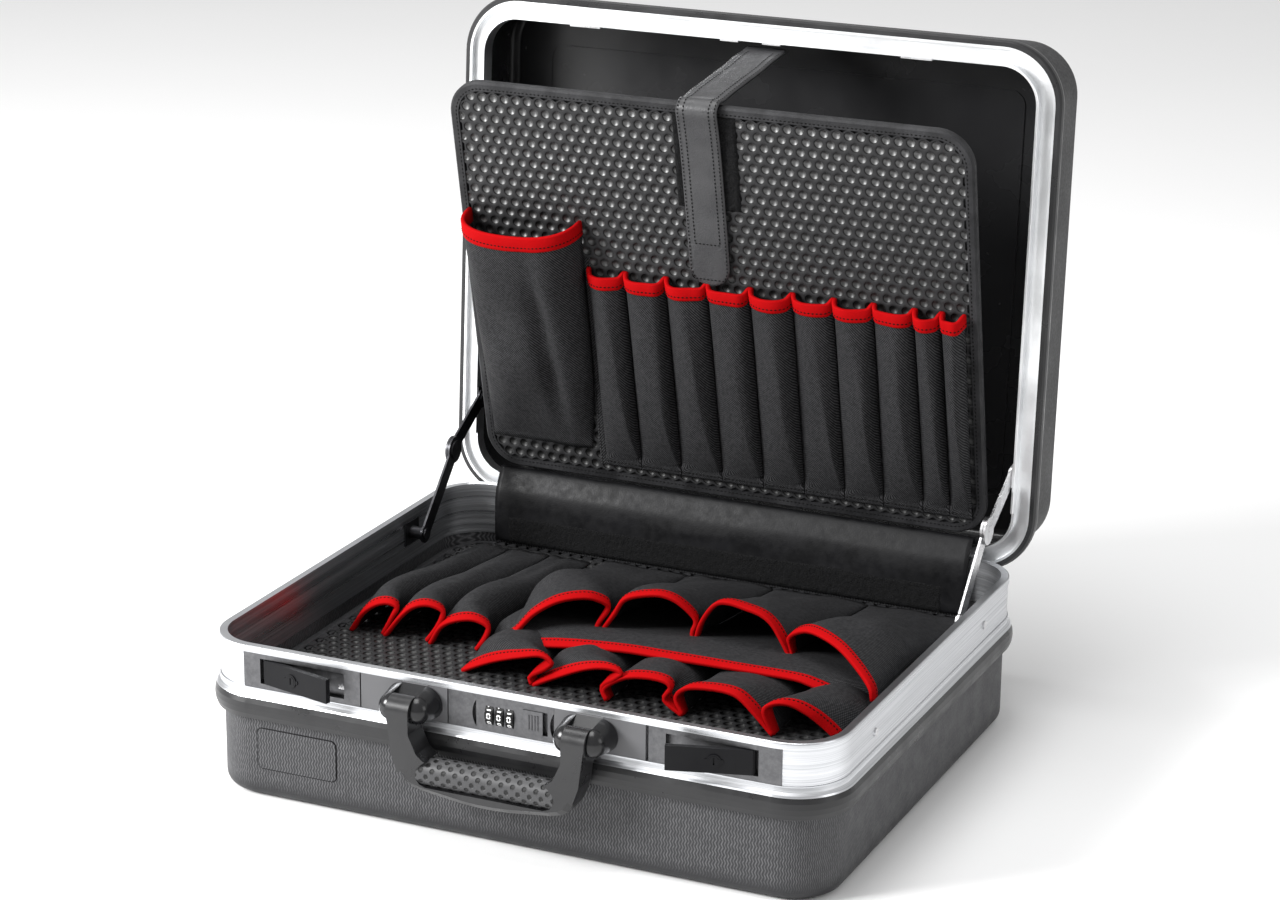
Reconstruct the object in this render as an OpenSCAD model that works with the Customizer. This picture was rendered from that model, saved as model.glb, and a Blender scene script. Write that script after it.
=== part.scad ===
// Case with a hinged lid, two latches, a number lock, lid stays and two pocket boards.
// Millimetres, Z up. The origin is the centre of the base's underside and -Y is the front.

/* [Base] */
// Width between the inner faces of the base frame
inner_w = 460; // [450:1:480]
// Depth between the inner faces of the base frame
inner_d = 377.4; // [372:0.2:392]
// Corner radius of the inner face of the base frame
inner_r = 32.8; // [30:0.1:34]
// Height of the base from its underside to the rim
base_h = 114.4; // [108:0.2:130]
// Thickness of the moulded shells
shell_t = 2.5; // [2:0.1:3]
// How far the shell stands outside the inner face of the frame
shell_out = 3.2; // [3:0.1:3.6]
// Radius of the rounded lower edge of the tub
edge_r = 10; // [7:0.5:12]

/* [Frame and collar] */
// Height of the base frame
band_h = 37.4; // [36:0.2:40]
// How far the channel face stands outside the inner face
band_out = 5.2; // [5:0.1:5.5]
// How far the rim bead stands outside the inner face
bead_out = 6; // [5.8:0.1:6.3]
// Height of the rim bead
bead_h = 4.5; // [4:0.1:4.5]
// How far the lower flange stands outside the inner face
flange_out = 8.7; // [7.5:0.1:9.2]
// Height of the collar under the frame
collar_h = 15.5; // [12:0.5:18]
// How far the collar bulges outside the inner face
collar_out = 10.1; // [9.4:0.1:10.6]
// How far the edge strips stand outside the inner face
strip_out = 6.4; // [5:0.1:7]
// Height of the edge strips
strip_h = 1; // [0.6:0.1:1.4]

/* [Lid] */
// How far the lid is open at rest, in degrees
open_deg = 93.54; // [90:0.01:94]
// How far the inner face of the lid frame stands inside that of the base
lid_step = 8.2; // [7.8:0.1:9]
// Corner radius of the inner face of the lid frame
lid_r = 27.7; // [25:0.1:29]
// Height of the lid above the rim when shut
lid_h = 67.8; // [64:0.2:80]
// Thickness of the lid floor
lid_floor = 3; // [2.5:0.1:4]
// Gap between the rim and the lid frame when shut
lid_gap = 0.3; // [0.3:0.1:0.6]
// Width of the face of the lid frame
lid_face = 13.55; // [13.3:0.05:13.6]
// How far the inner lip drops inside the rim
lip_drop = 3; // [2:0.1:3.4]
// Depth of the embossed groove in the lid floor
groove_d = 0.8; // [0.4:0.1:1.2]

/* [Hinges] */
// Distance of each hinge from the middle
hinge_x = 120; // [90:1:140]
// Length of each hinge
hinge_len = 80; // [60:1:90]
// Radius of the hinge knuckles
knuckle_r = 4; // [3.6:0.1:4]
// Radius of the hinge pins
hinge_pin_r = 1.5; // [1.2:0.1:1.8]
// Radial clearance of the running fits
fit = 0.05; // [0.03:0.01:0.08]

/* [Latches] */
// How far the left lever stands open, in degrees
left_open = 13.3; // [5:0.1:20]
// How far the right lever stands open, in degrees
right_open = 16.8; // [5:0.1:20]
// Length of the latch levers
lever_len = 57.8; // [55:0.2:61]
// Thickness of the latch levers
lever_t = 4; // [3.6:0.1:4.1]
// Radius of the key cylinders
key_r = 3.5; // [3:0.1:4]
// Distance of the key cylinder from the lever pivot
key_at = 25.5; // [20:0.5:35]

/* [Number lock] */
// Radius of the number dials
dial_r = 9.6; // [9.4:0.1:10]
// Pitch of the number dials
dial_pitch = 7.6; // [7.2:0.1:8]
// Width of one dial
dial_w = 5.8; // [5.2:0.1:6]
// Radius of the dial axle
axle_r = 1.5; // [1:0.1:2]

/* [Handle] */
// Distance of each handle strap from the middle
strap_x = 65.3; // [63:0.1:67]
// Width of a handle strap
strap_w = 17; // [15:0.5:18]
// Thickness of the handle from front to back
handle_t = 20; // [16:0.5:20]
// Radius of the domed hood cheeks beside each strap
cheek_t = 10; // [8:0.1:10.4]
// Radius of the handle pins
handle_pin_r = 3; // [2:0.1:4]
// Height of the handle below its pivot
handle_drop = 58.4; // [56:0.2:62]
// Radius of the dimpled grip insert
grip_r = 10.3; // [10.1:0.1:10.5]
// Thickness of the dimpled grip insert
grip_t = 1.8; // [1.2:0.1:2]

/* [Lid stays] */
// Width of the stay links
link_w = 12; // [9:0.5:13]
// Thickness of the stay links
link_t = 1.6; // [1.2:0.1:1.8]
// Radius of the round end of the links at the middle pivot
eye_r = 10.5; // [8:0.5:11]
// Radius of the stay pins
stay_pin_r = 2.5; // [2:0.1:3]
// Distance of the lower stay links from the inner face of the base frame
stay_in = 13; // [12:0.1:13.4]

/* [Boards] */
// Width of the upper board
upper_w = 412.6; // [400:0.2:416]
// Height of the upper board
upper_h = 325.7; // [310:0.1:326]
// Corner radius of the upper board
upper_r = 27.3; // [20:0.1:30]
// How far the upper board leans forward from upright, in degrees
upper_lean = 11.87; // [10:0.01:13]
// Thickness of the boards
board_t = 6; // [4:0.5:7]
// Width of the binding round the boards
binding_w = 7; // [5:0.5:9]
// Width of the lower board
lower_w = 438; // [420:1:440]
// Depth of the lower board
lower_d = 364; // [350:1:366]
// Depth of the lower board's face below the rim
lower_z = 44; // [42:0.5:46]
// Thickness of the pocket cloth
cloth_t = 1.2; // [0.8:0.1:1.4]
// Width of the retaining strap
tie_w = 32; // [26:1:36]
// Thickness of the vinyl hinge flap
flap_t = 1.2; // [0.8:0.1:1.4]
// Distance of the ends of the hinge flap from the inner face of the base frame
flap_side = 30; // [28:1:40]
// Width of the seat that the ledge gives the lower board
seat_w = 3.3; // [2:0.1:5]
// Height of the pad behind the retaining strap
pad_h = 69; // [60:1:75]
// Distance of that pad from the top of the upper board
pad_end = 12.7; // [11:0.1:20]

/* [Hidden] */
$fn = 64;
hx = inner_w / 2;
hy = inner_d / 2;
lhx = hx - lid_step;
lhy = hy - lid_step;
band_z = base_h - band_h;
strip_z = band_z - collar_h;
hinge_y = hy + 4.8;
hinge_z = base_h - 7.6;
frame_z0 = base_h + lid_gap;
frame_z1 = base_h + 10.8;
lid_z1 = base_h + lid_h;
wall_out = lid_step + shell_out;
plate_front = -(hy + bead_out);
plate_back = -(hy + 0.8);
plate_z0 = base_h - 30;
plate_z1 = base_h - bead_h;
left_plate = [-199.5, -108];
left_bracket = [-107.1, -40.8];
lock_span = [-39.9, 39];
right_bracket = [39.2, 106];
right_plate = [108.1, 202.7];
lever_proud = 1.2;
lever_pivot_x = 182;
lever_pivot_y = -(hy + 3.9);
barrel_r = 1.85;
lever_pin_r = 0.9;
recess_far = 186.5;
recess_near = 120.5;
recess_z0 = base_h - 26.4;
recess_z1 = base_h - 8;
recess_mid = (recess_z0 + recess_z1) / 2;
recess_back = -(hy + 1.4);
bolt_z = base_h - 19.6;
bolt_h = 2.7;
bolt_t = 1.4;
lock_z = base_h - 18.35;
lock_y = -(hy - 1.4);
lock_x = -1.3;
dial_gap = 0.3;
lock_half = dial_pitch + dial_w / 2 + 0.4;
box_wall = 1.6;
dial_side = 0.15;
slider_x = [16.5, 31];
slider_z = [base_h - 26, base_h - 9.5];
slide_travel = 3;
pivot_y = -(hy + 23.3);
pivot_z = base_h - 17.6;
hood_y = pivot_y + 3;
hood_base_r = 12.2;
pin_in = 3.5;
grip_top = 31.7;
grip_z = pivot_z - grip_top + 0.6 - grip_r;
hood_gap = 0.6;
stay_b = [106.5, base_h - 17.5];
stay_l = [208, base_h + 64];
stay_m = [157, base_h + 36];
lower_link_x = hx - stay_in;
upper_link_x = lower_link_x + link_t + 0.4;
board_pivot = [195, base_h + 17];
board_z = base_h - lower_z;
flap_y = hy - 4.7;
flap_half = hx - flap_side;
ledge_w = max(hx - lower_w / 2, hy - lower_d / 2) + shell_out - shell_t + seat_w;

// Turns shut-lid coordinates into the open pose
module lid_pose() {
  translate([0, hinge_y, hinge_z])
    rotate([-open_deg, 0, 0])
      translate([0, -hinge_y, -hinge_z])
        children();
}

// Upper board's own frame: X along it, Y up it, Z out of its face
module board_pose() {
  translate([0, board_pivot[0], board_pivot[1]])
    rotate([90 + upper_lean, 0, 0])
      children();
}

// Solid rounded rectangle
module slab(half_x, half_y, r, h) {
  translate([-half_x, -(half_y - r), 0])
    cube([2 * half_x, 2 * (half_y - r), h]);
  translate([-(half_x - r), -half_y, 0])
    cube([2 * (half_x - r), 2 * half_y, h]);
  for (sx = [-1, 1], sy = [-1, 1])
    translate([sx * (half_x - r), sy * (half_y - r), 0])
      cylinder(r = r, h = h);
}

// Sweeps a section round a rounded rectangle: X is outward, Y is up
module ring(half_x, half_y, r) {
  straight_x = 2 * (half_x - r);
  straight_y = 2 * (half_y - r);
  translate([half_x, half_y - r, 0])
    rotate([90, 0, 0])
      linear_extrude(straight_y)
        children();
  translate([-half_x, -(half_y - r), 0])
    rotate([90, 0, 180])
      linear_extrude(straight_y)
        children();
  translate([-(half_x - r), half_y, 0])
    rotate([90, 0, 90])
      linear_extrude(straight_x)
        children();
  translate([half_x - r, -half_y, 0])
    rotate([90, 0, -90])
      linear_extrude(straight_x)
        children();
  for (q = [0 : 3])
    translate([(q == 0 || q == 3 ? 1 : -1) * (half_x - r), (q < 2 ? 1 : -1) * (half_y - r), 0])
      rotate([0, 0, 90 * q])
        rotate_extrude(angle = 90)
          translate([r, 0])
            children();
}

// Cylinder along X from one place to another
module rod(x0, x1, y, z, r) {
  translate([x0, y, z])
    rotate([0, 90, 0])
      cylinder(r = r, h = x1 - x0);
}

// Flat piece drawn in Y and Z, from one X to another
module profile_x(x0, x1, points) {
  translate([x0, 0, 0])
    rotate([90, 0, 90])
      linear_extrude(x1 - x0)
        polygon(points);
}

// Flat piece drawn in X and Z, from one Y to another
module profile_y(y0, y1, points) {
  translate([0, y1, 0])
    rotate([90, 0, 0])
      linear_extrude(y1 - y0)
        polygon(points);
}

// Point on an arched pocket section: s is y, x0, x1, z, height
function arch(s, i, n, p, t) =
  let (a = 180 * i / n, c = cos(a), v = max(0, sin(a)))
  [
    (s[1] + s[2]) / 2 - ((s[2] - s[1]) / 2 - t) * sign(c) * pow(abs(c), 2 / p),
    s[0],
    s[3] + (s[4] - t) * pow(v, 2 / p)
  ];

// Arched cloth pocket through stations that run towards +Y
module tunnel(stations, p = 2, n = 12, t = cloth_t) {
  k1 = len(stations) - 1;
  m = n + 1;
  low = (k1 + 1) * m;
  outer = [for (k = [0 : k1], i = [0 : n]) arch(stations[k], i, n, p, 0)];
  inner = [for (k = [0 : k1], i = [0 : n]) arch(stations[k], i, n, p, t)];
  top = [for (k = [0 : k1 - 1], i = [0 : n - 1]) [k * m + i, k * m + m + i, k * m + m + i + 1, k * m + i + 1]];
  under = [for (q = top) [q[0] + low, q[3] + low, q[2] + low, q[1] + low]];
  near = [for (i = [0 : n - 1]) [i, i + 1, low + i + 1, low + i]];
  far = [for (i = [0 : n - 1]) [k1 * m + i, low + k1 * m + i, low + k1 * m + i + 1, k1 * m + i + 1]];
  left = [for (k = [0 : k1 - 1]) [k * m, low + k * m, low + k * m + m, k * m + m]];
  right = [for (k = [0 : k1 - 1]) [low + k * m + n, k * m + n, k * m + m + n, low + k * m + m + n]];
  quads = concat(top, under, near, far, left, right);
  polyhedron(
    points = concat(outer, inner),
    faces = [for (q = quads, h = [0, 1]) h == 0 ? [q[0], q[1], q[2]] : [q[0], q[2], q[3]]]
  );
}

// Section of the tub wall with its rounded lower edge and the inner ledge
module tub_section() {
  c = shell_out - edge_r;
  inside = shell_out - shell_t;
  ledge = board_z - board_t;
  polygon(concat(
    [[shell_out, band_z]],
    [for (a = [0 : 10 : 90]) [c + edge_r * cos(a), edge_r - edge_r * sin(a)]],
    [for (a = [90 : -10 : 0]) [c + (edge_r - shell_t) * cos(a), edge_r - (edge_r - shell_t) * sin(a)]],
    [[inside, ledge - 16], [inside - ledge_w, ledge - 2.5], [inside - ledge_w, ledge], [inside, ledge], [inside, band_z]]
  ));
}

module base_shell() {
  color("#202124") {
    ring(hx, hy, inner_r)
      tub_section();
    slab(hx + shell_out - edge_r, hy + shell_out - edge_r, inner_r + shell_out - edge_r, shell_t);
    translate([-160.7, -(hy + shell_out), base_h - 76.2])
      rotate([90, 0, 0])
        slab(31, 14.8, 4, 0.6);
  }
}

module base_collar() {
  mid = (band_z + strip_z) / 2;
  color("#141416")
    ring(hx, hy, inner_r)
      polygon([
        [shell_out, strip_z],
        [collar_out - 1.9, strip_z],
        [collar_out - 0.5, mid - 4],
        [collar_out, mid],
        [collar_out - 0.4, mid + 4],
        [collar_out - 1.9, band_z],
        [shell_out, band_z]
      ]);
}

module base_edge_strip() {
  color("#8b8e92")
    ring(hx, hy, inner_r)
      polygon([
        [shell_out, strip_z - strip_h],
        [strip_out - 0.3, strip_z - strip_h],
        [strip_out, strip_z - strip_h / 2],
        [strip_out, strip_z],
        [shell_out, strip_z]
      ]);
}

// Section of the base frame
module band_section() {
  skin = shell_out - shell_t;
  polygon([
    [0, base_h],
    [bead_out - 1, base_h],
    [bead_out - 0.3, base_h - 0.3],
    [bead_out, base_h - 1],
    [bead_out, base_h - bead_h],
    [band_out, base_h - bead_h],
    [band_out, base_h - 30],
    [bead_out, base_h - 30.3],
    [bead_out, base_h - 31],
    [band_out, base_h - 31.6],
    [(band_out + flange_out) / 2 - 0.9, band_z + 3],
    [flange_out - 0.8, band_z + 1.2],
    [flange_out, band_z],
    [skin, band_z],
    [skin, band_z - 2.6],
    [0, band_z - 2.6]
  ]);
}

module base_frame() {
  color("#d5d8db")
    difference() {
      ring(hx, hy, inner_r)
        band_section();
      translate([left_plate[0], plate_front - 1, plate_z0])
        cube([right_plate[1] - left_plate[0], plate_back - plate_front + 1, plate_z1 - plate_z0]);
      translate([lock_x - lock_half - box_wall, plate_back - 1, lock_z - dial_r - box_wall])
        cube([2 * (lock_half + box_wall), 3, 2 * (dial_r + box_wall)]);
      for (s = [-1, 1])
        translate([s * hinge_x - hinge_len / 2 - 0.3, 0, 0]) {
          rod(0, hinge_len + 0.6, hinge_y, hinge_z, knuckle_r + 0.3);
          translate([0, hinge_y + 0.4, hinge_z])
            cube([hinge_len + 0.6, 8, 12]);
          translate([0, hy + bead_out, hinge_z - 22])
            cube([hinge_len + 0.6, 8, 12 + 12]);
          translate([0, hinge_y + 0.4, hinge_z - 6])
            cube([hinge_len + 0.6, 8, 7]);
          translate([0, hy + band_out, hinge_z - 21.7])
            cube([hinge_len + 0.6, 8, 17]);
        }
      translate([-(hx - inner_r), hy + bead_out, band_z - 1])
        cube([2 * (hx - inner_r), 6, band_h + 2]);
    }
}

// Latch housing drawn on the left, with its recess and bolt slot
module latch_housing(span) {
  difference() {
    translate([span[0], plate_front, plate_z0])
      cube([span[1] - span[0], plate_back - plate_front, plate_z1 - plate_z0]);
    translate([-recess_far, plate_front - 1, recess_z0])
      cube([recess_far - recess_near, recess_back - plate_front + 1, recess_z1 - recess_z0]);
    translate([-recess_near - 1, recess_back - bolt_t - 2 * fit, bolt_z - bolt_h / 2 - fit])
      cube([10, bolt_t + 2 * fit, bolt_h + 2 * fit]);
  }
  translate([-lever_pivot_x, lever_pivot_y, recess_z0])
    cylinder(r = lever_pin_r, h = recess_z1 - recess_z0);
}

module latch_housing_l() {
  color("#5b5d60")
    latch_housing(left_plate);
}

module latch_housing_r() {
  color("#5b5d60")
    mirror([1, 0, 0])
      latch_housing([-right_plate[1], -right_plate[0]]);
}

// Lever in its own frame: the pivot is the origin and X runs along it
module lever() {
  z0 = recess_z0 + 0.5;
  tall = recess_z1 - recess_z0 - 1;
  front = plate_front - lever_pivot_y - lever_proud;
  difference() {
    union() {
      translate([0, 0, z0])
        cylinder(r = barrel_r, h = tall);
      translate([0, front, z0])
        cube([lever_len, lever_t, tall]);
      translate([key_at, front, recess_mid])
        rotate([90, 0, 0]) {
          cylinder(r = key_r + 1.2, h = 0.8);
          translate([-key_r - 2.6, -1.2, 0])
            cube([2 * key_r + 5.2, 2.4, 0.6]);
        }
    }
    translate([0, 0, z0 - 1])
      cylinder(r = lever_pin_r + fit, h = tall + 2);
    translate([key_at, front + 1.9, recess_mid])
      rotate([90, 0, 0])
        cylinder(r = key_r + fit, h = 4);
  }
}

// Key cylinder in the lever's frame
module key_cylinder() {
  front = plate_front - lever_pivot_y - lever_proud;
  translate([key_at, front, recess_mid])
    rotate([90, 0, 0])
      difference() {
        translate([0, 0, -1.85])
          cylinder(r = key_r, h = 1.85 + 1);
        translate([-0.5, -key_r * 0.7, -0.4])
          cube([1, key_r * 1.4, 2]);
      }
}

module left_lever_pose() {
  translate([-lever_pivot_x, lever_pivot_y, 0])
    rotate([0, 0, -left_open])
      children();
}

module right_lever_pose() {
  mirror([1, 0, 0])
    translate([-lever_pivot_x, lever_pivot_y, 0])
      rotate([0, 0, -right_open])
        children();
}

module latch_lever_l() {
  color("#3a3b3e")
    left_lever_pose()
      lever();
}

module latch_lever_r() {
  color("#3a3b3e")
    right_lever_pose()
      lever();
}

module key_cylinder_l() {
  color("#77797c")
    left_lever_pose()
      key_cylinder();
}

module key_cylinder_r() {
  color("#77797c")
    right_lever_pose()
      key_cylinder();
}

module bolt() {
  translate([-recess_near - 6, recess_back - bolt_t - fit, bolt_z - bolt_h / 2])
    cube([10.5, bolt_t, bolt_h]);
}

module latch_bolt_l() {
  color("#b9bbbd")
    bolt();
}

module latch_bolt_r() {
  color("#b9bbbd")
    mirror([1, 0, 0])
      bolt();
}

module lock_plate() {
  box_r = dial_r + box_wall;
  color("#5b5d60")
    difference() {
      union() {
        translate([lock_span[0], plate_front, plate_z0])
          cube([lock_span[1] - lock_span[0], plate_back - plate_front, plate_z1 - plate_z0]);
        translate([lock_x - lock_half - box_wall, plate_back - 0.5, lock_z - box_r])
          cube([2 * (lock_half + box_wall), lock_y + box_r - plate_back + 0.5, 2 * box_r]);
      }
      for (i = [-1 : 1])
        rod(
          lock_x + i * dial_pitch - dial_w / 2 - dial_side, lock_x + i * dial_pitch + dial_w / 2 + dial_side,
          lock_y, lock_z, dial_r + dial_gap
        );
      rod(lock_x - lock_half - 1, lock_x + lock_half + 1, lock_y, lock_z, axle_r);
      translate([slider_x[0] - 0.4, plate_front - 1, slider_z[0] - fit])
        cube([slider_x[1] - slider_x[0] + slide_travel + 0.8, 4.5, slider_z[1] - slider_z[0] + 2 * fit]);
      crescent(-18.9);
      crescent(right_bracket[0]);
    }
}

// Curved cut in the plate, bulging to the left of a straight line at x
module crescent(x) {
  translate([x + 14, plate_front - 1, lock_z])
    rotate([-90, 0, 0])
      intersection() {
        cylinder(r = 17, h = 4.5);
        translate([-18, -12, -1])
          cube([4, 24, 7]);
      }
}

module dial_axle() {
  color("#77797c")
    rod(lock_x - lock_half - 1, lock_x + lock_half + 1, lock_y, lock_z, axle_r);
}

// Number dial with finger notches
module dial(i) {
  x = lock_x + (i - 1) * dial_pitch;
  color("#a9abad")
    difference() {
      rod(x - dial_w / 2, x + dial_w / 2, lock_y, lock_z, dial_r);
      rod(x - dial_w, x + dial_w, lock_y, lock_z, axle_r + fit);
      for (a = [18 : 36 : 359])
        rod(x - dial_w, x + dial_w, lock_y + dial_r * cos(a), lock_z + dial_r * sin(a), 0.7);
    }
}

module dial_1() {
  dial(0);
}

module dial_2() {
  dial(1);
}

module dial_3() {
  dial(2);
}

module lock_slider() {
  color("#3a3b3e") {
    translate([slider_x[0], plate_front - 0.8, slider_z[0]])
      cube([slider_x[1] - slider_x[0], 4.2, slider_z[1] - slider_z[0]]);
    for (i = [0 : 3])
      translate([slider_x[0] + 3.5 + 2.2 * i, plate_front - 1.4, slider_z[0] + 3])
        cube([1, 0.7, slider_z[1] - slider_z[0] - 6]);
  }
}

// Half of a domed cone: its flat side is X = 0 and its dome points to -Y
module hood_cheek() {
  reach = plate_front - hood_y;
  rotate([-90, -90, 0])
    rotate_extrude(angle = 180) {
      intersection() {
        circle(r = cheek_t);
        translate([0, -cheek_t - 1])
          square([cheek_t + 1, cheek_t + 1]);
      }
      polygon([[0, 0], [cheek_t, 0], [hood_base_r, reach], [hood_base_r, reach + 0.5], [0, reach + 0.5]]);
    }
}

// Plate and hood that hold one handle strap
module handle_bracket(span) {
  cheek_in = strap_w / 2 + hood_gap;
  difference() {
    union() {
      translate([span[0], plate_front, plate_z0])
        cube([span[1] - span[0], plate_back - plate_front, plate_z1 - plate_z0]);
      for (m = [0, 1])
        translate([-strap_x, hood_y, pivot_z])
          mirror([m, 0, 0])
            translate([cheek_in, 0, 0])
              hood_cheek();
      difference() {
        profile_x(-strap_x - cheek_in - 1, -strap_x + cheek_in + 1, [
          [plate_front + 0.5, plate_z0],
          [pivot_y + handle_t / 2 + 0.7, plate_z0],
          [pivot_y + handle_t / 2 + 0.7, pivot_z],
          [pivot_y + 8, pivot_z + 7.2],
          [plate_front + 0.5, plate_z1]
        ]);
        rod(-strap_x - cheek_in - 2, -strap_x + cheek_in + 2, pivot_y, pivot_z, handle_t / 2 + 0.7);
      }
    }
    rod(
      -strap_x - cheek_in - cheek_t + pin_in, -strap_x + cheek_in + cheek_t - pin_in,
      pivot_y, pivot_z, handle_pin_r
    );
  }
}

module handle_bracket_l() {
  color("#5b5d60")
    handle_bracket(left_bracket);
}

module handle_bracket_r() {
  color("#5b5d60")
    mirror([1, 0, 0])
      handle_bracket([-right_bracket[1], -right_bracket[0]]);
}

module handle_pin() {
  reach = strap_w / 2 + hood_gap + cheek_t - pin_in;
  rod(-strap_x - reach, -strap_x + reach, pivot_y, pivot_z, handle_pin_r);
}

module handle_pin_l() {
  color("#8b8e92")
    handle_pin();
}

module handle_pin_r() {
  color("#8b8e92")
    mirror([1, 0, 0])
      handle_pin();
}

// Outer outline of the handle's right half, X and drop below the pivot
function handle_outer() =
  let (w = strap_x + strap_w / 2, d = handle_drop)
  [
    [w, 0], [w - 1, -6], [w - 4, -29.4], [w - 7.5, -39.4], [w - 9.5, -44], [w - 13, -48.9],
    [w - 18, -52], [w - 26, -54], [17.6, 0.7 - d], [6, -d]
  ];

// Inner outline of the handle's right half
function handle_inner() =
  let (w = strap_x - strap_w / 2)
  [[w, 0], [w, -14], [w - 3, -20.4], [w - 6, -26.9], [w - 11, -30.9], [w - 15, -grip_top]];

// Outline of the grip insert, X and Z
function grip_outline() =
  let (right = [
    [44, grip_z - 8.2], [48.5, grip_z - 6.6], [51, grip_z - 3.4], [51.6, grip_z],
    [50.6, grip_z + 4], [47.6, grip_z + 7.6], [43, grip_z + 11.1]
  ])
  concat(right, [for (i = [len(right) - 1 : -1 : 0]) [-right[i][0], right[i][1]]]);

// Wedge that breaks one front edge of the handle's underside, from one outline point to the next
module edge_break(p, q, depth) {
  d = q - p;
  translate([p[0], pivot_y - handle_t / 2, pivot_z + p[1]])
    rotate([0, -atan2(d[1], d[0]), 0])
      translate([-2, 0, 0])
        rotate([45, 0, 0])
          translate([0, -depth, -depth / 1.4142])
            cube([norm(d) + 4, 2 * depth, 1.4142 * depth]);
}

module handle() {
  outer = handle_outer();
  inner = handle_inner();
  color("#1b1b1d")
    difference() {
      union() {
        for (s = [-1, 1])
          rod(s * strap_x - strap_w / 2, s * strap_x + strap_w / 2, pivot_y, pivot_z, handle_t / 2);
        translate([0, 0, pivot_z])
          profile_y(pivot_y - handle_t / 2, pivot_y + handle_t / 2, concat(
            outer,
            [for (i = [len(outer) - 1 : -1 : 0]) [-outer[i][0], outer[i][1]]],
            [for (p = inner) [-p[0], p[1]]],
            [for (i = [len(inner) - 1 : -1 : 0]) inner[i]]
          ));
      }
      for (s = [-1, 1])
        rod(s * strap_x - strap_w, s * strap_x + strap_w, pivot_y, pivot_z, handle_pin_r + fit);
      difference() {
        profile_y(pivot_y - handle_t, pivot_y + handle_t, grip_outline());
        rod(-60, 60, pivot_y, grip_z, grip_r - grip_t);
      }
      for (i = [4 : len(outer) - 2], m = [0, 1])
        mirror([m, 0, 0])
          edge_break(outer[i], outer[i + 1], 4);
      edge_break(outer[len(outer) - 1], [-outer[len(outer) - 1][0], outer[len(outer) - 1][1]], 4);
    }
}

module handle_grip() {
  color("#2a2a2c")
    intersection() {
      profile_y(pivot_y - handle_t, pivot_y + handle_t, grip_outline());
      difference() {
        rod(-55, 55, pivot_y, grip_z, grip_r);
        rod(-60, 60, pivot_y, grip_z, grip_r - grip_t);
      }
    }
}

module band_rivets() {
  color("#c3c5c8") {
    for (s = [-1, 1], y = [-109.6, 109.6])
      rod(s > 0 ? hx + band_out : -hx - band_out - 1, s > 0 ? hx + band_out + 1 : -hx - band_out, y, base_h - 18.3, 3);
  }
}

// Knuckles and leaf of one hinge; side 0 is the base and side 1 the lid
module hinge_half(side) {
  step = hinge_len / 5;
  own = side == 0 ? [0, 2, 4] : [1, 3];
  up = side == 0 ? -1 : 1;
  leaf_y = side == 0 ? hinge_y + 1.2 : hinge_y + 0.7;
  leaf_h = side == 0 ? 17 : 9;
  difference() {
    union() {
      for (k = own)
        translate([-hinge_len / 2 + k * step, 0, 0]) {
          rod(0.05, step - 0.05, hinge_y, hinge_z, knuckle_r);
          translate([0.05, leaf_y, hinge_z + (up > 0 ? 1.8 : -knuckle_r - 0.5)])
            cube([step - 0.1, 1.5, knuckle_r - 1.3]);
        }
      translate([-hinge_len / 2, leaf_y, hinge_z + (up > 0 ? knuckle_r + 0.4 : -knuckle_r - 0.4 - leaf_h)])
        cube([hinge_len, 1.5, leaf_h]);
    }
    rod(-hinge_len, hinge_len, hinge_y, hinge_z, hinge_pin_r + (side == 0 ? 0 : fit));
  }
}

module hinge_base_l() {
  color("#9a9da0")
    translate([-hinge_x, 0, 0])
      hinge_half(0);
}

module hinge_base_r() {
  color("#9a9da0")
    translate([hinge_x, 0, 0])
      hinge_half(0);
}

module hinge_lid_l() {
  color("#9a9da0")
    lid_pose()
      translate([-hinge_x, 0, 0])
        hinge_half(1);
}

module hinge_lid_r() {
  color("#9a9da0")
    lid_pose()
      translate([hinge_x, 0, 0])
        hinge_half(1);
}

module hinge_pin_l() {
  color("#c3c5c8")
    rod(-hinge_x - hinge_len / 2, -hinge_x + hinge_len / 2, hinge_y, hinge_z, hinge_pin_r);
}

module hinge_pin_r() {
  color("#c3c5c8")
    rod(hinge_x - hinge_len / 2, hinge_x + hinge_len / 2, hinge_y, hinge_z, hinge_pin_r);
}

// Section of the lid wall with its rounded outer edge
module lid_section() {
  c = wall_out - edge_r;
  ti = shell_t;
  zc = lid_z1 - edge_r;
  polygon(concat(
    [[wall_out, frame_z1]],
    [for (a = [0 : 10 : 90]) [c + edge_r * cos(a), zc + edge_r * sin(a)]],
    [for (a = [90 : -10 : 0]) [c + (edge_r - ti) * cos(a), zc + (edge_r - lid_floor) * sin(a)]],
    [[wall_out - ti, frame_z1]]
  ));
}

module lid_shell() {
  color("#202124")
    lid_pose()
      difference() {
        union() {
          ring(lhx, lhy, lid_r)
            lid_section();
          translate([0, 0, lid_z1 - lid_floor])
            slab(lhx + wall_out - edge_r, lhy + wall_out - edge_r, lid_r + wall_out - edge_r, lid_floor);
        }
        translate([0, 0, lid_z1 - lid_floor - 1])
          difference() {
            slab(196, 157.5, 16, groove_d + 1);
            translate([0, 0, -1])
              slab(192, 153.5, 12, groove_d + 4);
          }
      }
}

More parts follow.
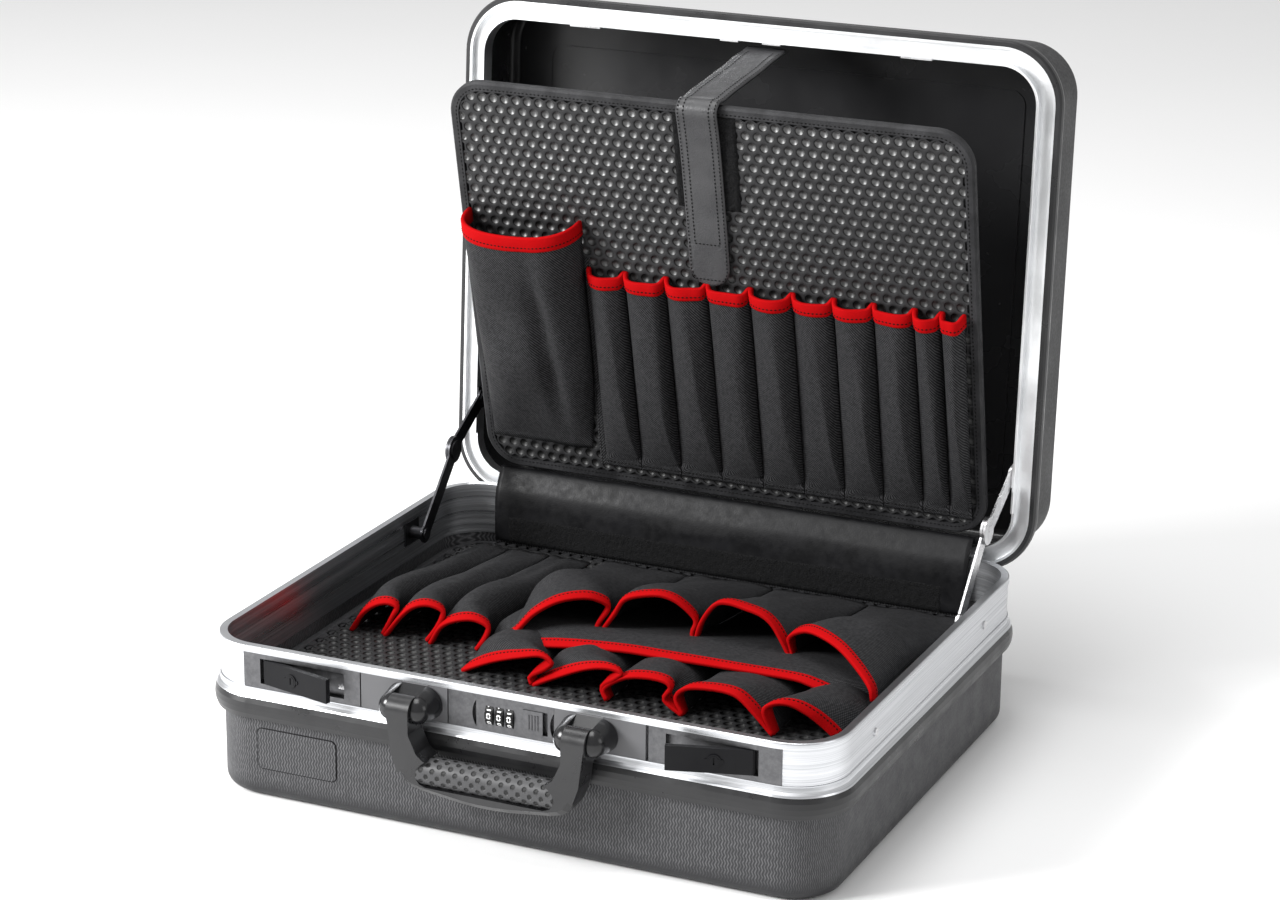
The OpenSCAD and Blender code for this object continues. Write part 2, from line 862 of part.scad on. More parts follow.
module lid_collar() {
  mid = (frame_z0 + frame_z1) / 2;
  out = lid_step + collar_out;
  color("#141416")
    lid_pose()
      difference() {
        ring(lhx, lhy, lid_r)
          polygon([
            [lid_face, frame_z0],
            [out - 1.6, frame_z0],
            [out - 0.3, mid - 3],
            [out, mid],
            [out - 0.4, mid + 3],
            [out - 1.9, frame_z1],
            [lid_face, frame_z1]
          ]);
        for (s = [-1, 1])
          translate([s * hinge_x - hinge_len / 2 - 0.3, hinge_y + 0.4, hinge_z])
            cube([hinge_len + 0.6, 2.1, knuckle_r + 0.4 + 9.2]);
      }
}

module lid_edge_strip() {
  out = lid_step + strip_out;
  color("#8b8e92")
    lid_pose()
      ring(lhx, lhy, lid_r)
        polygon([
          [wall_out, frame_z1],
          [out, frame_z1],
          [out, frame_z1 + strip_h / 2],
          [out - 0.3, frame_z1 + strip_h],
          [wall_out, frame_z1 + strip_h]
        ]);
}

module lid_frame() {
  lip = 1.8;
  color("#d5d8db")
    lid_pose() {
      ring(lhx, lhy, lid_r)
        polygon([
          [0, frame_z0],
          [lip, frame_z0],
          [lip, frame_z0 + 4.5],
          [lid_face - lip, frame_z0 + 4.5],
          [lid_face - lip, frame_z0],
          [lid_face, frame_z0],
          [lid_face, frame_z1],
          [0, frame_z1]
        ]);
      difference() {
        ring(lhx, lhy, lid_r)
          polygon([
            [0, frame_z0 - lip_drop],
            [lip - 0.4, frame_z0 - lip_drop],
            [lip, frame_z0 - lip_drop + 0.4],
            [lip, frame_z0],
            [0, frame_z0]
          ]);
        translate([-lhx - 20, lhy - lid_r - 3, frame_z0 - lip_drop - 1])
          cube([2 * lhx + 40, lid_r + 30, lip_drop + 1]);
      }
    }
}

// Small plates on the inner edge of the lid frame
module lid_clips() {
  color("#e3e5e7")
    lid_pose() {
      for (c = [[-149.5, 25], [-26, 14.6], [7.9, 14.3], [117, 24]])
        translate([c[0], -lhy, frame_z0 - lip_drop])
          cube([c[1], 1.2, 11]);
      translate([-124, lhy - 1.2, frame_z0])
        cube([16, 1.2, 3]);
    }
}

// Bracket on the base frame with its boss, pin and head
module stay_bracket_base() {
  boss_end = lower_link_x + link_t + 0.1;
  translate([hx - 1.2, stay_b[0] - 11, stay_b[1] - 9])
    cube([1.2, 22, 18]);
  rod(boss_end, hx - 1, stay_b[0], stay_b[1], 5);
  rod(lower_link_x - 1.4, boss_end + 0.5, stay_b[0], stay_b[1], stay_pin_r);
  rod(lower_link_x - 1.4, lower_link_x - 0.1, stay_b[0], stay_b[1], 5);
}

module stay_bracket_base_r() {
  color("#b9bbbd")
    stay_bracket_base();
}

module stay_bracket_base_l() {
  color("#b9bbbd")
    mirror([1, 0, 0])
      stay_bracket_base();
}

// Flat link between two points of the Y-Z plane, with round ends and a bore at the first
module link(p, q, x0, rp, rq) {
  d = q - p;
  translate([x0, p[0], p[1]])
    rotate([atan2(d[1], d[0]), 0, 0])
      rotate([90, 0, 90])
        linear_extrude(link_t)
          difference() {
            union() {
              circle(r = rp);
              translate([norm(d), 0])
                circle(r = rq);
              translate([0, -link_w / 2])
                square([norm(d), link_w]);
            }
            circle(r = stay_pin_r + fit);
          }
}

module stay_lower() {
  link(stay_b, stay_m, lower_link_x, link_w / 2 + 1, eye_r);
  rod(lower_link_x - 1.2, lower_link_x, stay_m[0], stay_m[1], eye_r - 3);
}

module stay_lower_r() {
  color("#c9cbcd")
    stay_lower();
}

module stay_lower_l() {
  color("#c9cbcd")
    mirror([1, 0, 0])
      stay_lower();
}

module stay_upper() {
  link(stay_l, stay_m, upper_link_x, link_w / 2 + 1, eye_r);
}

module stay_upper_r() {
  color("#c9cbcd")
    stay_upper();
}

module stay_upper_l() {
  color("#c9cbcd")
    mirror([1, 0, 0])
      stay_upper();
}

// Bracket on the lid frame with its pin and head, drawn in the open pose
module stay_bracket_lid() {
  plate_x = upper_link_x + link_t + 0.15;
  translate([0, stay_l[0], stay_l[1]])
    rotate([-open_deg, 0, 0])
      translate([plate_x, -9, -4.5])
        cube([lhx - plate_x, 18, 12]);
  rod(upper_link_x - 1.3, plate_x + 0.5, stay_l[0], stay_l[1], stay_pin_r);
  rod(upper_link_x - 1.3, upper_link_x - 0.1, stay_l[0], stay_l[1], 4.6);
}

module stay_bracket_lid_r() {
  color("#b9bbbd")
    stay_bracket_lid();
}

module stay_bracket_lid_l() {
  color("#b9bbbd")
    mirror([1, 0, 0])
      stay_bracket_lid();
}

module hinge_flap_base() {
  wall_y = hy + shell_out - shell_t - 0.3;
  color("#3b3a3e")
    profile_x(-flap_half, flap_half, [
      [wall_y, board_z + 0.5],
      [flap_y, board_z + 0.5],
      [flap_y - 0.3, base_h - 20],
      [flap_y - 1, base_h - 10],
      [flap_y + flap_t - 0.8, base_h - 9.4],
      [flap_y + flap_t - 0.2, base_h - 20],
      [flap_y + flap_t, board_z + 0.5 + flap_t],
      [wall_y, board_z + 0.5 + flap_t]
    ]);
}

// Lid part of the flap: carries the lower edge of the upper board
module hinge_flap_lid() {
  y0 = board_pivot[0];
  z0 = board_pivot[1];
  color("#3b3a3e")
    profile_x(-flap_half + 7, flap_half - 7, [
      [y0 - 2.4, z0 - 9],
      [y0 - 1.2, z0 - 4],
      [y0 + 0.1, z0 - 0.5],
      [y0 + 0.7, z0 - 0.5],
      [y0 + 3.5, z0 - 2.1],
      [y0 + 8, z0 - 3.8],
      [y0 + 12.5, z0 - 11.4],
      [y0 + 12.5, z0 - 12.1],
      [y0 + 11, z0 - 12],
      [y0 + 7, z0 - 5],
      [y0 + 3, z0 - 3.4],
      [y0 + 0.5, z0 - 1.8],
      [y0 - 0.3, z0 - 4.5],
      [y0 - 1.4, z0 - 9.4]
    ]);
}

module flap_velcro() {
  color("#111112")
    translate([-flap_half + 15, flap_y - 1.6, board_z + 0.6])
      cube([2 * flap_half - 38, 1.2, lower_z - 22.1]);
}

module lower_board() {
  color("#3c3d40")
    translate([0, 0, board_z - board_t])
      slab(lower_w / 2 - binding_w, lower_d / 2 - binding_w, 20, board_t);
}

// Section of the binding, with its outer edge at X = 0
module binding_section(over) {
  polygon([
    [-binding_w, -board_t - over],
    [-1.5, -board_t - over],
    [0, -board_t - over + 1.5],
    [0, over - 1.5],
    [-1.5, over],
    [-binding_w, over]
  ]);
}

module lower_binding() {
  color("#2b2b2d")
    translate([0, 0, board_z])
      ring(lower_w / 2, lower_d / 2, 20 + binding_w)
        binding_section(0);
}

long_x = [-204.3, -176.3, -140.4, -104.9];
front_x = [-93.4, -35.5, 24.1, 80.3, 152, 205];
back_x = [-94, -22, 48, 125, 205];
upper_x = [-103, -72.5, -39, -5, 29, 62.5, 95, 126, 157.5, 178.5, 196];

module long_pockets() {
  color("#1d1d1f")
    for (i = [0 : 2])
      tunnel([
        for (s = [[-37, 26], [40, 20], [110, 11], [166, 4]])
          [s[0], long_x[i] + 0.2, long_x[i + 1] - 0.2, board_z, s[1]]
      ]);
}

module front_pockets() {
  color("#1d1d1f")
    for (i = [0 : 4])
      tunnel([
        for (s = [[-78, 23], [-38, 19], [18, 11.5], [60, 5]])
          [s[0], front_x[i] + 0.2, front_x[i + 1] - 0.2, board_z, s[1]]
      ]);
}

// Height of the long middle pocket at each station
band_stations = [[-38, 24], [18, 15.5], [100, 8], [166, 4]];

module band_pocket() {
  color("#1d1d1f")
    tunnel([for (s = band_stations) [s[0], -97, 209, board_z, s[1]]], 8, 24);
}

module back_pockets() {
  color("#1d1d1f")
    for (i = [0 : 3])
      tunnel([
        for (s = [[-2, 18.9, 27], [60, 12, 20], [110, 7.75, 12], [164, 4.5, 4]])
          [s[0], back_x[i] + 0.2, back_x[i + 1] - 0.2, board_z + s[1], s[2]]
      ]);
}

module upper_board() {
  color("#3c3d40")
    board_pose()
      translate([0, upper_h / 2, -board_t])
        slab(upper_w / 2 - binding_w, upper_h / 2 - binding_w, upper_r - binding_w, board_t);
}

module upper_binding() {
  color("#2b2b2d")
    board_pose()
      translate([0, upper_h / 2, 0])
        ring(upper_w / 2, upper_h / 2, upper_r)
          binding_section(0.6);
}

module pouch() {
  color("#1d1d1f")
    board_pose()
      tunnel([for (s = [[27, 4], [70, 15], [140, 26], [213, 33]]) [s[0], -199, -105.7, 0, s[1]]], 3, 16);
}

module upper_pockets() {
  color("#1d1d1f")
    board_pose()
      for (i = [0 : 9])
        tunnel([
          for (s = [[22, 2.5], [90, 8], [176, 13]])
            [s[0], upper_x[i] + 0.2, min(upper_x[i + 1] - 0.2, upper_w / 2 - binding_w), 0, s[1]]
        ]);
}

module velcro_pad() {
  color("#111112")
    board_pose()
      translate([-24, upper_h - pad_end - pad_h, 0])
        cube([50, pad_h, 1.2]);
}

// Front part of the strap: hangs down the board and wraps over its top edge
module strap_front() {
  z0 = 1.7;
  color("#4a4a4d")
    board_pose() {
      translate([-1.5 - tie_w / 2, 181.5 + tie_w / 2, z0])
        cube([tie_w, upper_h + 0.8 - 181.5 - tie_w / 2, 1.8]);
      translate([-1.5, 181.5 + tie_w / 2, z0])
        cylinder(r = tie_w / 2, h = 1.8);
      translate([-1.5 - tie_w / 2, upper_h + 0.3, -board_t - 6])
        cube([tie_w, 1.8, board_t + 6 + z0 + 1.8]);
    }
}

// Anchor part of the strap on the lid
module strap_anchor() {
  color("#4a4a4d")
    lid_pose()
      profile_x(9 - tie_w / 2, 9 + tie_w / 2, [
        [-(lhy - 1.5), frame_z1 - 3],
        [-(lhy - 1.5), frame_z0],
        [-(lhy - 6), frame_z0 - 10],
        [-(lhy - 14), frame_z0 - 26],
        [-(lhy - 15.6), frame_z0 - 25.2],
        [-(lhy - 7.8), frame_z0 - 9.4],
        [-(lhy - 3.3), frame_z0],
        [-(lhy - 3.3), frame_z1 - 3]
      ]);
}

base_shell();
base_collar();
base_edge_strip();
base_frame();
latch_housing_l();
latch_housing_r();
latch_lever_l();
latch_lever_r();
key_cylinder_l();
key_cylinder_r();
latch_bolt_l();
latch_bolt_r();
lock_plate();
dial_axle();
dial_1();
dial_2();
dial_3();
lock_slider();
handle_bracket_l();
handle_bracket_r();
handle_pin_l();
handle_pin_r();
handle();
handle_grip();
band_rivets();
hinge_base_l();
hinge_base_r();
hinge_pin_l();
hinge_pin_r();
hinge_lid_l();
hinge_lid_r();
stay_bracket_base_l();
stay_bracket_base_r();
stay_lower_l();
stay_lower_r();
stay_upper_l();
stay_upper_r();
stay_bracket_lid_l();
stay_bracket_lid_r();
lid_shell();
lid_collar();
lid_edge_strip();
lid_frame();
lid_clips();
hinge_flap_base();
hinge_flap_lid();
flap_velcro();
lower_board();
lower_binding();
long_pockets();
front_pockets();
band_pocket();
back_pockets();
upper_board();
upper_binding();
pouch();
upper_pockets();
velcro_pad();
strap_front();
strap_anchor();
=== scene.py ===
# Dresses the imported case: camera, light, finishes and the soft pieces.
# Lengths are millimetres until a mesh is made.
import math

import bpy
import numpy as np
from mathutils import Matrix, Vector


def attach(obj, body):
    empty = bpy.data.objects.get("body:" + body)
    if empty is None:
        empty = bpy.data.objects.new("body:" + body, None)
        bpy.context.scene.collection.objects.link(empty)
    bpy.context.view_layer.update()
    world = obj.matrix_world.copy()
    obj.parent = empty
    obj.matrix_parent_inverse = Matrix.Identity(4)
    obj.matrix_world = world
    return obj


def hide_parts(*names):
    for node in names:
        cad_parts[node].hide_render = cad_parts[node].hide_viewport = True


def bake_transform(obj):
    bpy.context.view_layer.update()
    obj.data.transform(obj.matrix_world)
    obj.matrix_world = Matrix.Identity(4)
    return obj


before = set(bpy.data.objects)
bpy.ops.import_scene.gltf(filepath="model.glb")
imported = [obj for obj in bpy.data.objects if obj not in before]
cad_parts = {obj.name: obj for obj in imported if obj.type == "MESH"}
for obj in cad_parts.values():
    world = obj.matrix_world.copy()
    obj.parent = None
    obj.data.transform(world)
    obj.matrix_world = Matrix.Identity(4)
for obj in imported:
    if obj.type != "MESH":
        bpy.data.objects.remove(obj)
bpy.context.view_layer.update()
MM = 0.001
PER_METRE = 1000

# Sizes shared with the CAD source
BOARD_Z = 70.4
BOARD_T = 6.0
BINDING = 7.0
UPPER_W = 412.6
UPPER_H = 325.7
UPPER_R = 27.3
LEAN = math.radians(11.87)
PIVOT = (195.0, 131.4)
CLOTH = 1.2
TUB_FRONT = 191.9

# Ribs of the tub's grain
RIB_PITCH = 2.2
RIB_TURN = 5.2
RIB_BEND = 1.1


# Camera, solved from the photo, and light

CAMERA_TURN = math.radians(24.399)
CAMERA_PITCH = math.radians(18.105)
CAMERA_ROLL = math.radians(0.465)
CAMERA_PLACE = (961.05, -2092.37, 980.14)
LENS = 96.36
SENSOR = 36
PHOTO_W = 1280
PHOTO_H = 900


def camera_axes():
    """Directions to the camera's right, up and back."""
    level = math.cos(CAMERA_PITCH)
    back = np.array([math.sin(CAMERA_TURN) * level, -math.cos(CAMERA_TURN) * level, math.sin(CAMERA_PITCH)])
    side = np.cross((0, 0, 1), back)
    side /= np.linalg.norm(side)
    above = np.cross(back, side)
    right = side * math.cos(CAMERA_ROLL) + above * math.sin(CAMERA_ROLL)
    up = above * math.cos(CAMERA_ROLL) - side * math.sin(CAMERA_ROLL)
    return right, up, back


def make_camera():
    data = bpy.data.cameras.new("camera")
    data.lens = LENS
    data.sensor_width = SENSOR
    data.clip_end = 60
    camera = bpy.data.objects.new("camera", data)
    bpy.context.scene.collection.objects.link(camera)
    place = Matrix([Vector(axis) for axis in camera_axes()]).transposed().to_4x4()
    place.translation = Vector(CAMERA_PLACE) * MM
    camera.matrix_world = place
    bpy.context.scene.camera = camera


def seen_point(px, py, normal, distance):
    """Where the plane lies that the camera sees at a pixel of the photo."""
    right, up, back = camera_axes()
    focal = LENS / SENSOR * PHOTO_W
    ray = (px - PHOTO_W / 2) / focal * right - (py - PHOTO_H / 2) / focal * up - back
    camera = np.array(CAMERA_PLACE)
    return camera + ray * (distance - camera @ normal) / (ray @ normal)


LIGHT_AIM = (0, 0.05, 0.2)
WORLD_STRENGTH = 0.61
# Name, place and size in metres, and power in watts
LIGHTS = [
    ("key_light", (-2.0, -1.7, 1.5), (1.1, 1.1), 142),
    ("top_light", (-0.3, -0.1, 2.3), (1.6, 1.0), 30),
    ("right_light", (2.4, -0.2, 1.1), (0.9, 1.2), 8),
]


def area_light(name, place, size, power):
    data = bpy.data.lights.new(name, "AREA")
    data.shape = "RECTANGLE"
    data.size, data.size_y = size
    data.energy = power
    light = bpy.data.objects.new(name, data)
    bpy.context.scene.collection.objects.link(light)
    light.location = place
    light.rotation_mode = "QUATERNION"
    light.rotation_quaternion = (Vector(place) - Vector(LIGHT_AIM)).to_track_quat("Z", "Y")


def make_light():
    world = bpy.data.worlds.new("studio")
    world.use_nodes = True
    sky = world.node_tree.nodes["Background"]
    sky.inputs["Color"].default_value = (1, 1, 1, 1)
    sky.inputs["Strength"].default_value = WORLD_STRENGTH
    bpy.context.scene.world = world
    bpy.context.scene.view_settings.view_transform = "Standard"
    for light in LIGHTS:
        area_light(*light)


make_camera()
make_light()


# Meshes

def new_object(name, points, faces, material, body, smooth=True, uv=None):
    """A mesh from points in millimetres, riding on a CAD body. uv has one pair per point, in millimetres."""
    mesh = bpy.data.meshes.new(name)
    mesh.from_pydata((np.asarray(points, float) * MM).tolist(), [], [list(map(int, f)) for f in faces])
    if uv is not None:
        layer = mesh.uv_layers.new(name="cloth")
        corners = np.zeros(len(mesh.loops), int)
        mesh.loops.foreach_get("vertex_index", corners)
        layer.data.foreach_set("uv", (np.asarray(uv, float)[corners] * MM).ravel())
    mesh.polygons.foreach_set("use_smooth", [smooth] * len(mesh.polygons))
    mesh.materials.append(material)
    mesh.validate()
    thing = bpy.data.objects.new(name, mesh)
    bpy.context.scene.collection.objects.link(thing)
    if body:
        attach(thing, body)
    return thing


def quads(rows, columns, closed=False):
    """Faces of a grid with that many rows and columns of points."""
    wrap = columns if closed else columns - 1
    pairs = [(r * columns + c, r * columns + (c + 1) % columns) for r in range(rows - 1) for c in range(wrap)]
    return [(a, a + columns, b + columns, b) for a, b in pairs]


def normals_of(grid):
    """Unit normals of a grid of points."""
    du = np.gradient(grid, axis=0)
    dv = np.gradient(grid, axis=1)
    n = np.cross(du, dv)
    return n / np.maximum(np.linalg.norm(n, axis=2, keepdims=True), 1e-9)


def arc_uv(grid):
    """Distances along a grid's rows and columns, as cloth coordinates."""
    along = np.linalg.norm(np.diff(grid, axis=1), axis=2)
    across = np.linalg.norm(np.diff(grid, axis=0), axis=2)
    u = np.concatenate([np.zeros((len(grid), 1)), np.cumsum(along, axis=1)], axis=1)
    v = np.concatenate([np.zeros((1, grid.shape[1])), np.cumsum(across, axis=0)], axis=0)
    return np.stack([u - u.mean(axis=1, keepdims=True), v], axis=2)


def thin_shell(grid, thickness, inward=True):
    """Points, faces and cloth coordinates of a grid with a thickness, closed round its rim."""
    rows, columns = grid.shape[:2]
    other = grid + normals_of(grid) * thickness * (-1 if inward else 1)
    uv = arc_uv(grid).reshape(-1, 2)
    points = np.concatenate([grid.reshape(-1, 3), other.reshape(-1, 3)])
    count = rows * columns
    outer = quads(rows, columns)
    inner = [(a + count, d + count, c + count, b + count) for a, b, c, d in outer]
    rim = [(0, c) for c in range(columns)]
    rim += [(r, columns - 1) for r in range(1, rows)]
    rim += [(rows - 1, c) for c in range(columns - 2, -1, -1)]
    rim += [(r, 0) for r in range(rows - 2, 0, -1)]
    index = [r * columns + c for r, c in rim]
    edge = [(a, b, b + count, a + count) for a, b in zip(index, index[1:] + index[:1])]
    return points, outer + inner + edge, np.concatenate([uv, uv])


def cloth_area(grid):
    """Area of a grid of points in square metres, with its mean width and length in metres."""
    a, b, c, d = grid[:-1, :-1], grid[1:, :-1], grid[1:, 1:], grid[:-1, 1:]
    halves = [np.linalg.norm(np.cross(p - a, q - a), axis=2) for p, q in ((b, c), (c, d))]
    area = (halves[0] + halves[1]).sum() / 2
    width = np.linalg.norm(np.diff(grid, axis=1), axis=2).sum(axis=1).max()
    length = np.linalg.norm(np.diff(grid, axis=0), axis=2).sum(axis=0).max()
    return area * MM * MM, width * MM, length * MM


def declare_cloth(grid):
    """Works out a sheet's area, width and length from its own grid and clamps them; nothing uses the result.
    """
    area, width, length = cloth_area(grid)
    width = max(width, 0.0101)
    length = max(length, 0.0101)
    area = min(max(area, 0.31 * width * length), width * length)


def catmull(points, count):
    """Points evenly spaced along a smooth curve through the given ones."""
    p = np.asarray(points, float)
    p = np.concatenate([[2 * p[0] - p[1]], p, [2 * p[-1] - p[-2]]])
    fine = []
    for i in range(1, len(p) - 2):
        for t in np.linspace(0, 1, 12, endpoint=False):
            a, b, c, d = p[i - 1], p[i], p[i + 1], p[i + 2]
            square = (2 * a - 5 * b + 4 * c - d) * t**2
            cube = (3 * b - a - 3 * c + d) * t**3
            fine.append(0.5 * (2 * b + (c - a) * t + square + cube))
    fine.append(p[-2])
    return resample(np.array(fine), count)


def distances(line):
    """How far each point lies along the line."""
    return np.concatenate([[0], np.cumsum(np.linalg.norm(np.diff(line, axis=0), axis=1))])


def resample(line, count):
    """The same line with evenly spaced points."""
    place = distances(line)
    want = np.linspace(0, place[-1], count)
    return np.stack([np.interp(want, place, line[:, k]) for k in range(line.shape[1])], axis=1)


def smooth_rows(values, rounds):
    """Draws each row towards its neighbours that many times; the first and last stay."""
    for _ in range(rounds):
        values[1:-1] = (values[:-2] + 2 * values[1:-1] + values[2:]) / 4


def unit(v):
    return v / np.maximum(np.linalg.norm(v, axis=-1, keepdims=True), 1e-9)


def band_along(name, line, outward, inward, section, material, body, closed=False):
    """Sweeps a section along a line. Section points are (along inward, along outward), in millimetres."""
    rows = [line + inward * a + outward * b for a, b in section]
    grid = np.stack(rows, axis=1)
    n, m = grid.shape[:2]
    faces = quads(n, m, closed=True)
    if closed:
        faces += [((n - 1) * m + c, c, (c + 1) % m, (n - 1) * m + (c + 1) % m) for c in range(m)]
    else:
        faces += [tuple(range(m)), tuple(range((n - 1) * m + m - 1, (n - 1) * m - 1, -1))]
    return new_object(name, grid.reshape(-1, 3), faces, material, body), grid


STITCH_FACES = [(0, 2, 4), (2, 1, 4), (1, 3, 4), (3, 0, 4), (2, 0, 5), (1, 2, 5), (3, 1, 5), (0, 3, 5)]


def stitch_points(line, outward, pitch, length, width, height):
    """Small lens shapes along a line, one for each stitch."""
    count = max(2, int(distances(line)[-1] / pitch))
    places = resample(np.concatenate([line, outward], axis=1), count * 2 + 1)
    points = []
    faces = []
    for i in range(count):
        at = places[2 * i + 1, :3]
        out = unit(places[2 * i + 1, 3:])
        ahead = unit(places[2 * i + 2, :3] - places[2 * i, :3])
        side = np.cross(out, ahead)
        start = len(points)
        for way, size in ((ahead, length / 2), (side, width / 2)):
            points += [at - way * size, at + way * size]
        points += [at + out * height, at - out * height]
        faces += [tuple(start + k for k in f) for f in STITCH_FACES]
    return points, faces


def stitches(name, lines, material, body, pitch=3.0, length=2.4, width=1.3, height=0.35):
    """Rows of stitches along (line, outward) pairs, as one object."""
    points = []
    faces = []
    for line, outward in lines:
        more, new_faces = stitch_points(line, outward, pitch, length, width, height)
        faces += [tuple(len(points) + k for k in f) for f in new_faces]
        points += more
    return new_object(name, points, faces, material, body, smooth=False)


def rounded_outline(half_x, half_y, r, inset=0.0, steps=10, centre=(0, 0)):
    """Points round a rounded rectangle, anticlockwise, with their outward directions."""
    points = []
    outward = []
    radius = max(r - inset, 0.5)
    for k, (sx, sy) in enumerate([(1, 1), (-1, 1), (-1, -1), (1, -1)]):
        for i in range(steps + 1):
            a = math.pi / 2 * (k + i / steps)
            points.append((
                centre[0] + sx * (half_x - inset - radius) + radius * math.cos(a),
                centre[1] + sy * (half_y - inset - radius) + radius * math.sin(a),
            ))
            outward.append((math.cos(a), math.sin(a)))
    return np.array(points), np.array(outward)


# Places on the upper board and in the lid

def on_board(x, v, w):
    """A point of the upper board's frame: along it, up it and out of its face."""
    x, v, w = np.broadcast_arrays(x, v, w)
    y = PIVOT[0] - v * math.sin(LEAN) - w * math.cos(LEAN)
    z = PIVOT[1] + v * math.cos(LEAN) - w * math.sin(LEAN)
    return np.stack([x, y, z], axis=-1)


BOARD_OUT = np.array([0, -math.cos(LEAN), -math.sin(LEAN)])
UP = np.array([0, 0, 1.0])


def flat_up(x, y, z):
    """A point of the lower board's frame, whose face looks up."""
    x, y, z = np.broadcast_arrays(x, y, z)
    return np.stack([x, y, BOARD_Z + z], axis=-1)


# Finishes

def material(name, colour, rough, metallic=0.0, **sockets):
    """A principled shader with constant sockets; the names come in with underscores."""
    made = bpy.data.materials.new(name)
    made.use_nodes = True
    shader = made.node_tree.nodes["Principled BSDF"]
    shader.inputs["Base Color"].default_value = (*colour, 1)
    shader.inputs["Roughness"].default_value = rough
    shader.inputs["Metallic"].default_value = metallic
    for key, value in sockets.items():
        shader.inputs[key.replace("_", " ")].default_value = value
    return made


def node(made, kind, links=None, values=None, **settings):
    """Adds a node; links maps an input to another node's output."""
    new = made.node_tree.nodes.new(kind)
    for key, value in settings.items():
        setattr(new, key, value)
    for key, value in (values or {}).items():
        new.inputs[key].default_value = value
    for key, source in (links or {}).items():
        made.node_tree.links.new(source, new.inputs[key])
    return new


def to_shader(made, socket, value):
    """Links a node's output to a socket of the principled shader."""
    made.node_tree.links.new(value, made.node_tree.nodes["Principled BSDF"].inputs[socket])


def coordinates(made, stretch=(1, 1, 1), cloth=False, turn=(0, 0, 0)):
    """Object coordinates in metres, or the cloth's own, scaled."""
    source = node(made, "ShaderNodeTexCoord")
    out = source.outputs["UV" if cloth else "Object"]
    place = node(made, "ShaderNodeMapping", {"Vector": out}, {"Scale": stretch, "Rotation": turn})
    return place.outputs["Vector"]


def noise(made, scale, stretch=(1, 1, 1), detail=3.0, cloth=False, rough=0.55):
    links = {"Vector": coordinates(made, stretch, cloth)}
    values = {"Scale": scale, "Detail": detail, "Roughness": rough}
    return node(made, "ShaderNodeTexNoise", links, values).outputs["Fac"]


def to_range(made, value, low, high, start=0.35, end=0.65):
    values = {"From Min": start, "From Max": end, "To Min": low, "To Max": high}
    return node(made, "ShaderNodeMapRange", {"Value": value}, values).outputs["Result"]


def vary_rough(made, value, low, high):
    to_shader(made, "Roughness", to_range(made, value, low, high))


def vary_colour(made, value, dark, light, start=0.35, end=0.65):
    """Mixes the base colour from dark to light as the value goes from start to end."""
    return colour_over(made, dark, to_range(made, value, 0, 1, start, end), light)


def colour_over(made, under, factor, colour):
    """Lays a colour over a plain or a mixed one, as strong as the factor says."""
    mix = node(made, "ShaderNodeMix", {"Factor": factor}, data_type="RGBA")
    below, above = [s for s in mix.inputs if s.type == "RGBA"]
    if isinstance(under, tuple):
        below.default_value = (*under, 1)
    else:
        made.node_tree.links.new(under, below)
    above.default_value = (*colour, 1)
    result = next(s for s in mix.outputs if s.type == "RGBA")
    to_shader(made, "Base Color", result)
    return result


def bump(made, heights):
    """Bumps stacked on each other; heights are (value, strength, distance in millimetres)."""
    previous = None
    for value, strength, distance in heights:
        links = {"Height": value}
        if previous is not None:
            links["Normal"] = previous
        new = node(made, "ShaderNodeBump", links, {"Strength": strength, "Distance": distance * MM})
        previous = new.outputs["Normal"]
    to_shader(made, "Normal", previous)


def voronoi(made, scale):
    links = {"Vector": coordinates(made)}
    return node(made, "ShaderNodeTexVoronoi", links, {"Scale": scale}).outputs["Distance"]


def wave(made, pitch, turn):
    """Slightly wavering bands on the cloth, with that pitch in millimetres and turned by degrees."""
    links = {"Vector": coordinates(made, cloth=True, turn=(0, 0, math.radians(turn)))}
    values = {"Scale": 2 * math.pi / (20 * pitch * MM), "Distortion": 0.4, "Detail": 1.0}
    bands = node(made, "ShaderNodeTexWave", links, values, wave_type="BANDS", bands_direction="X")
    return bands.outputs["Fac"]


def times(made, a, b, operation="MULTIPLY"):
    new = node(made, "ShaderNodeMath", operation=operation)
    for k, value in enumerate((a, b)):
        if isinstance(value, (int, float)):
            new.inputs[k].default_value = value
        else:
            made.node_tree.links.new(value, new.inputs[k])
    return new.outputs["Value"]


def moulded(name, colour, light, rough, grain=0.5, pitch=900, gloss=0.4):
    """Black plastic with a fine pebbled grain."""
    made = material(name, colour, rough, Specular_IOR_Level=gloss)
    vary_colour(made, noise(made, 30, detail=5), colour, light)
    vary_rough(made, noise(made, 60, detail=4), rough - 0.06, rough + 0.08)
    bump(made, [(voronoi(made, pitch), grain, 0.25), (noise(made, 1500), 0.2 * grain, 0.2)])
    return made


def split(made, scale, cloth=False):
    """The X, Y and Z of the coordinates, times a scale."""
    vector = coordinates(made, (scale, scale, scale), cloth)
    parts = node(made, "ShaderNodeSeparateXYZ", {"Vector": vector})
    return [parts.outputs[axis] for axis in "XYZ"]


def round_the_case(made):
    """Distance along the front and, past the corners, along the sides, in millimetres; and the height."""
    x, y, z = split(made, PER_METRE)
    back = times(made, y, TUB_FRONT, "ADD")
    side = times(made, x, 0, "SIGN")
    return times(made, x, times(made, back, side), "ADD"), z


